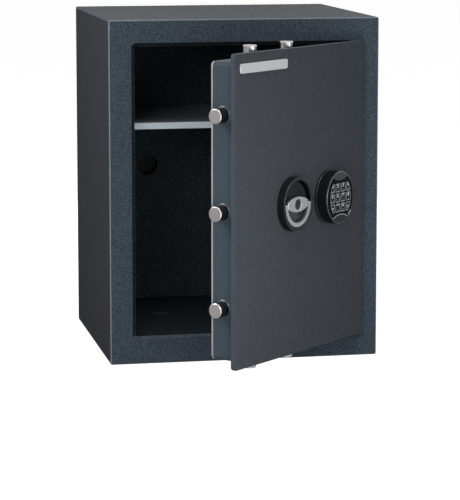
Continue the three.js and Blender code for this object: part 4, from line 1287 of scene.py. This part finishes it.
def floor():
    """A plain floor that the camera sees pale, and that mirrors in the gloss more dimly."""
    clear_selection()
    bpy.ops.mesh.primitive_plane_add(size=30, location=(0, 0, 0))
    plane = named("floor")
    material = bpy.data.materials.new("pale floor")
    material.use_nodes = True
    nodes = material.node_tree.nodes
    nodes.clear()
    matt = add_node(material, "ShaderNodeBsdfDiffuse", Color=(FLOOR_GREY, FLOOR_GREY, FLOOR_GREY, 1))
    glow = add_node(material, "ShaderNodeEmission", Color=(1, 1, 1, 1))
    rays = add_node(material, "ShaderNodeLightPath")
    seen = add_node(material, "ShaderNodeMath", operation="MULTIPLY_ADD")
    seen.inputs[1].default_value = FLOOR_MIRRORED
    level = add_node(material, "ShaderNodeMath", operation="MULTIPLY")
    level.inputs[1].default_value = FLOOR_GLOW
    both = add_node(material, "ShaderNodeAddShader")
    output = add_node(material, "ShaderNodeOutputMaterial")
    link(material, rays.outputs["Is Glossy Ray"], seen.inputs[0])
    link(material, rays.outputs["Is Camera Ray"], seen.inputs[2])
    link(material, seen.outputs[0], level.inputs[0])
    link(material, level.outputs[0], glow.inputs["Strength"])
    link(material, matt.outputs[0], both.inputs[0])
    link(material, glow.outputs[0], both.inputs[1])
    link(material, both.outputs[0], output.inputs["Surface"])
    plane.data.materials.append(material)


def surroundings():
    """A white backdrop for the camera and reflections, with little light of its own."""
    world = bpy.data.worlds.new("studio")
    bpy.context.scene.world = world
    world.use_nodes = True
    nodes, links = world.node_tree.nodes, world.node_tree.links
    backdrop = nodes["Background"]
    rays = nodes.new("ShaderNodeLightPath")
    seen = nodes.new("ShaderNodeMath")
    seen.operation = "MAXIMUM"
    links.new(rays.outputs["Is Camera Ray"], seen.inputs[0])
    links.new(rays.outputs["Is Glossy Ray"], seen.inputs[1])
    level = nodes.new("ShaderNodeMapRange")
    level.inputs["To Min"].default_value = AMBIENT
    level.inputs["To Max"].default_value = 1.0
    links.new(seen.outputs[0], level.inputs["Value"])
    links.new(level.outputs["Result"], backdrop.inputs["Strength"])
    backdrop.inputs["Color"].default_value = (1, 1, 1, 1)


def lamp(name, place, size, power, colour=(1, 1, 1)):
    light = bpy.data.lights.new(name, "AREA")
    light.shape = "RECTANGLE"
    light.size, light.size_y = size
    light.energy = power
    light.color = colour
    obj = bpy.data.objects.new(name, light)
    obj.visible_camera = False
    obj.location = place
    aim = Vector(AIM) - Vector(place)
    obj.rotation_euler = aim.to_track_quat("-Z", "Y").to_euler()
    bpy.context.scene.collection.objects.link(obj)


def camera():
    data = bpy.data.cameras.new("camera")
    data.sensor_width = 36
    data.lens = LENS
    data.shift_y = -CAMERA_SHIFT
    data.clip_end = 100
    obj = bpy.data.objects.new("camera", data)
    obj.location = CAMERA_PLACE
    obj.rotation_euler = (math.radians(90 - CAMERA_PITCH), 0, math.radians(-CAMERA_YAW))
    bpy.context.scene.collection.objects.link(obj)
    bpy.context.scene.camera = obj


floor()
surroundings()
lamp("overhead softbox", (0.0, -0.9, 1.9), (1.0, 1.0), 11)
lamp("front softbox", (0.02, -0.95, 0.22), (0.5, 0.5), 2.7, (0.92, 1.0, 1.06))
lamp("left front softbox", (-0.9, -2.0, 0.95), (0.6, 0.6), 6.4, (0.92, 1.0, 1.06))
lamp("right front softbox", (0.9, -1.3, 0.4), (0.4, 0.4), 2.3, (0.96, 1.0, 1.03))
lamp("left softbox", (-1.3, -0.3, 1.3), (0.8, 0.8), 19.5, (1.03, 1.0, 0.99))
lamp("rear softbox", (0.3, 1.7, 0.26), (0.4, 0.4), 6)
lamp("high rear softbox", (0.8, 0.7, 1.1), (0.5, 0.5), 4.5)
camera()

bpy.context.scene.view_settings.view_transform = "Standard"
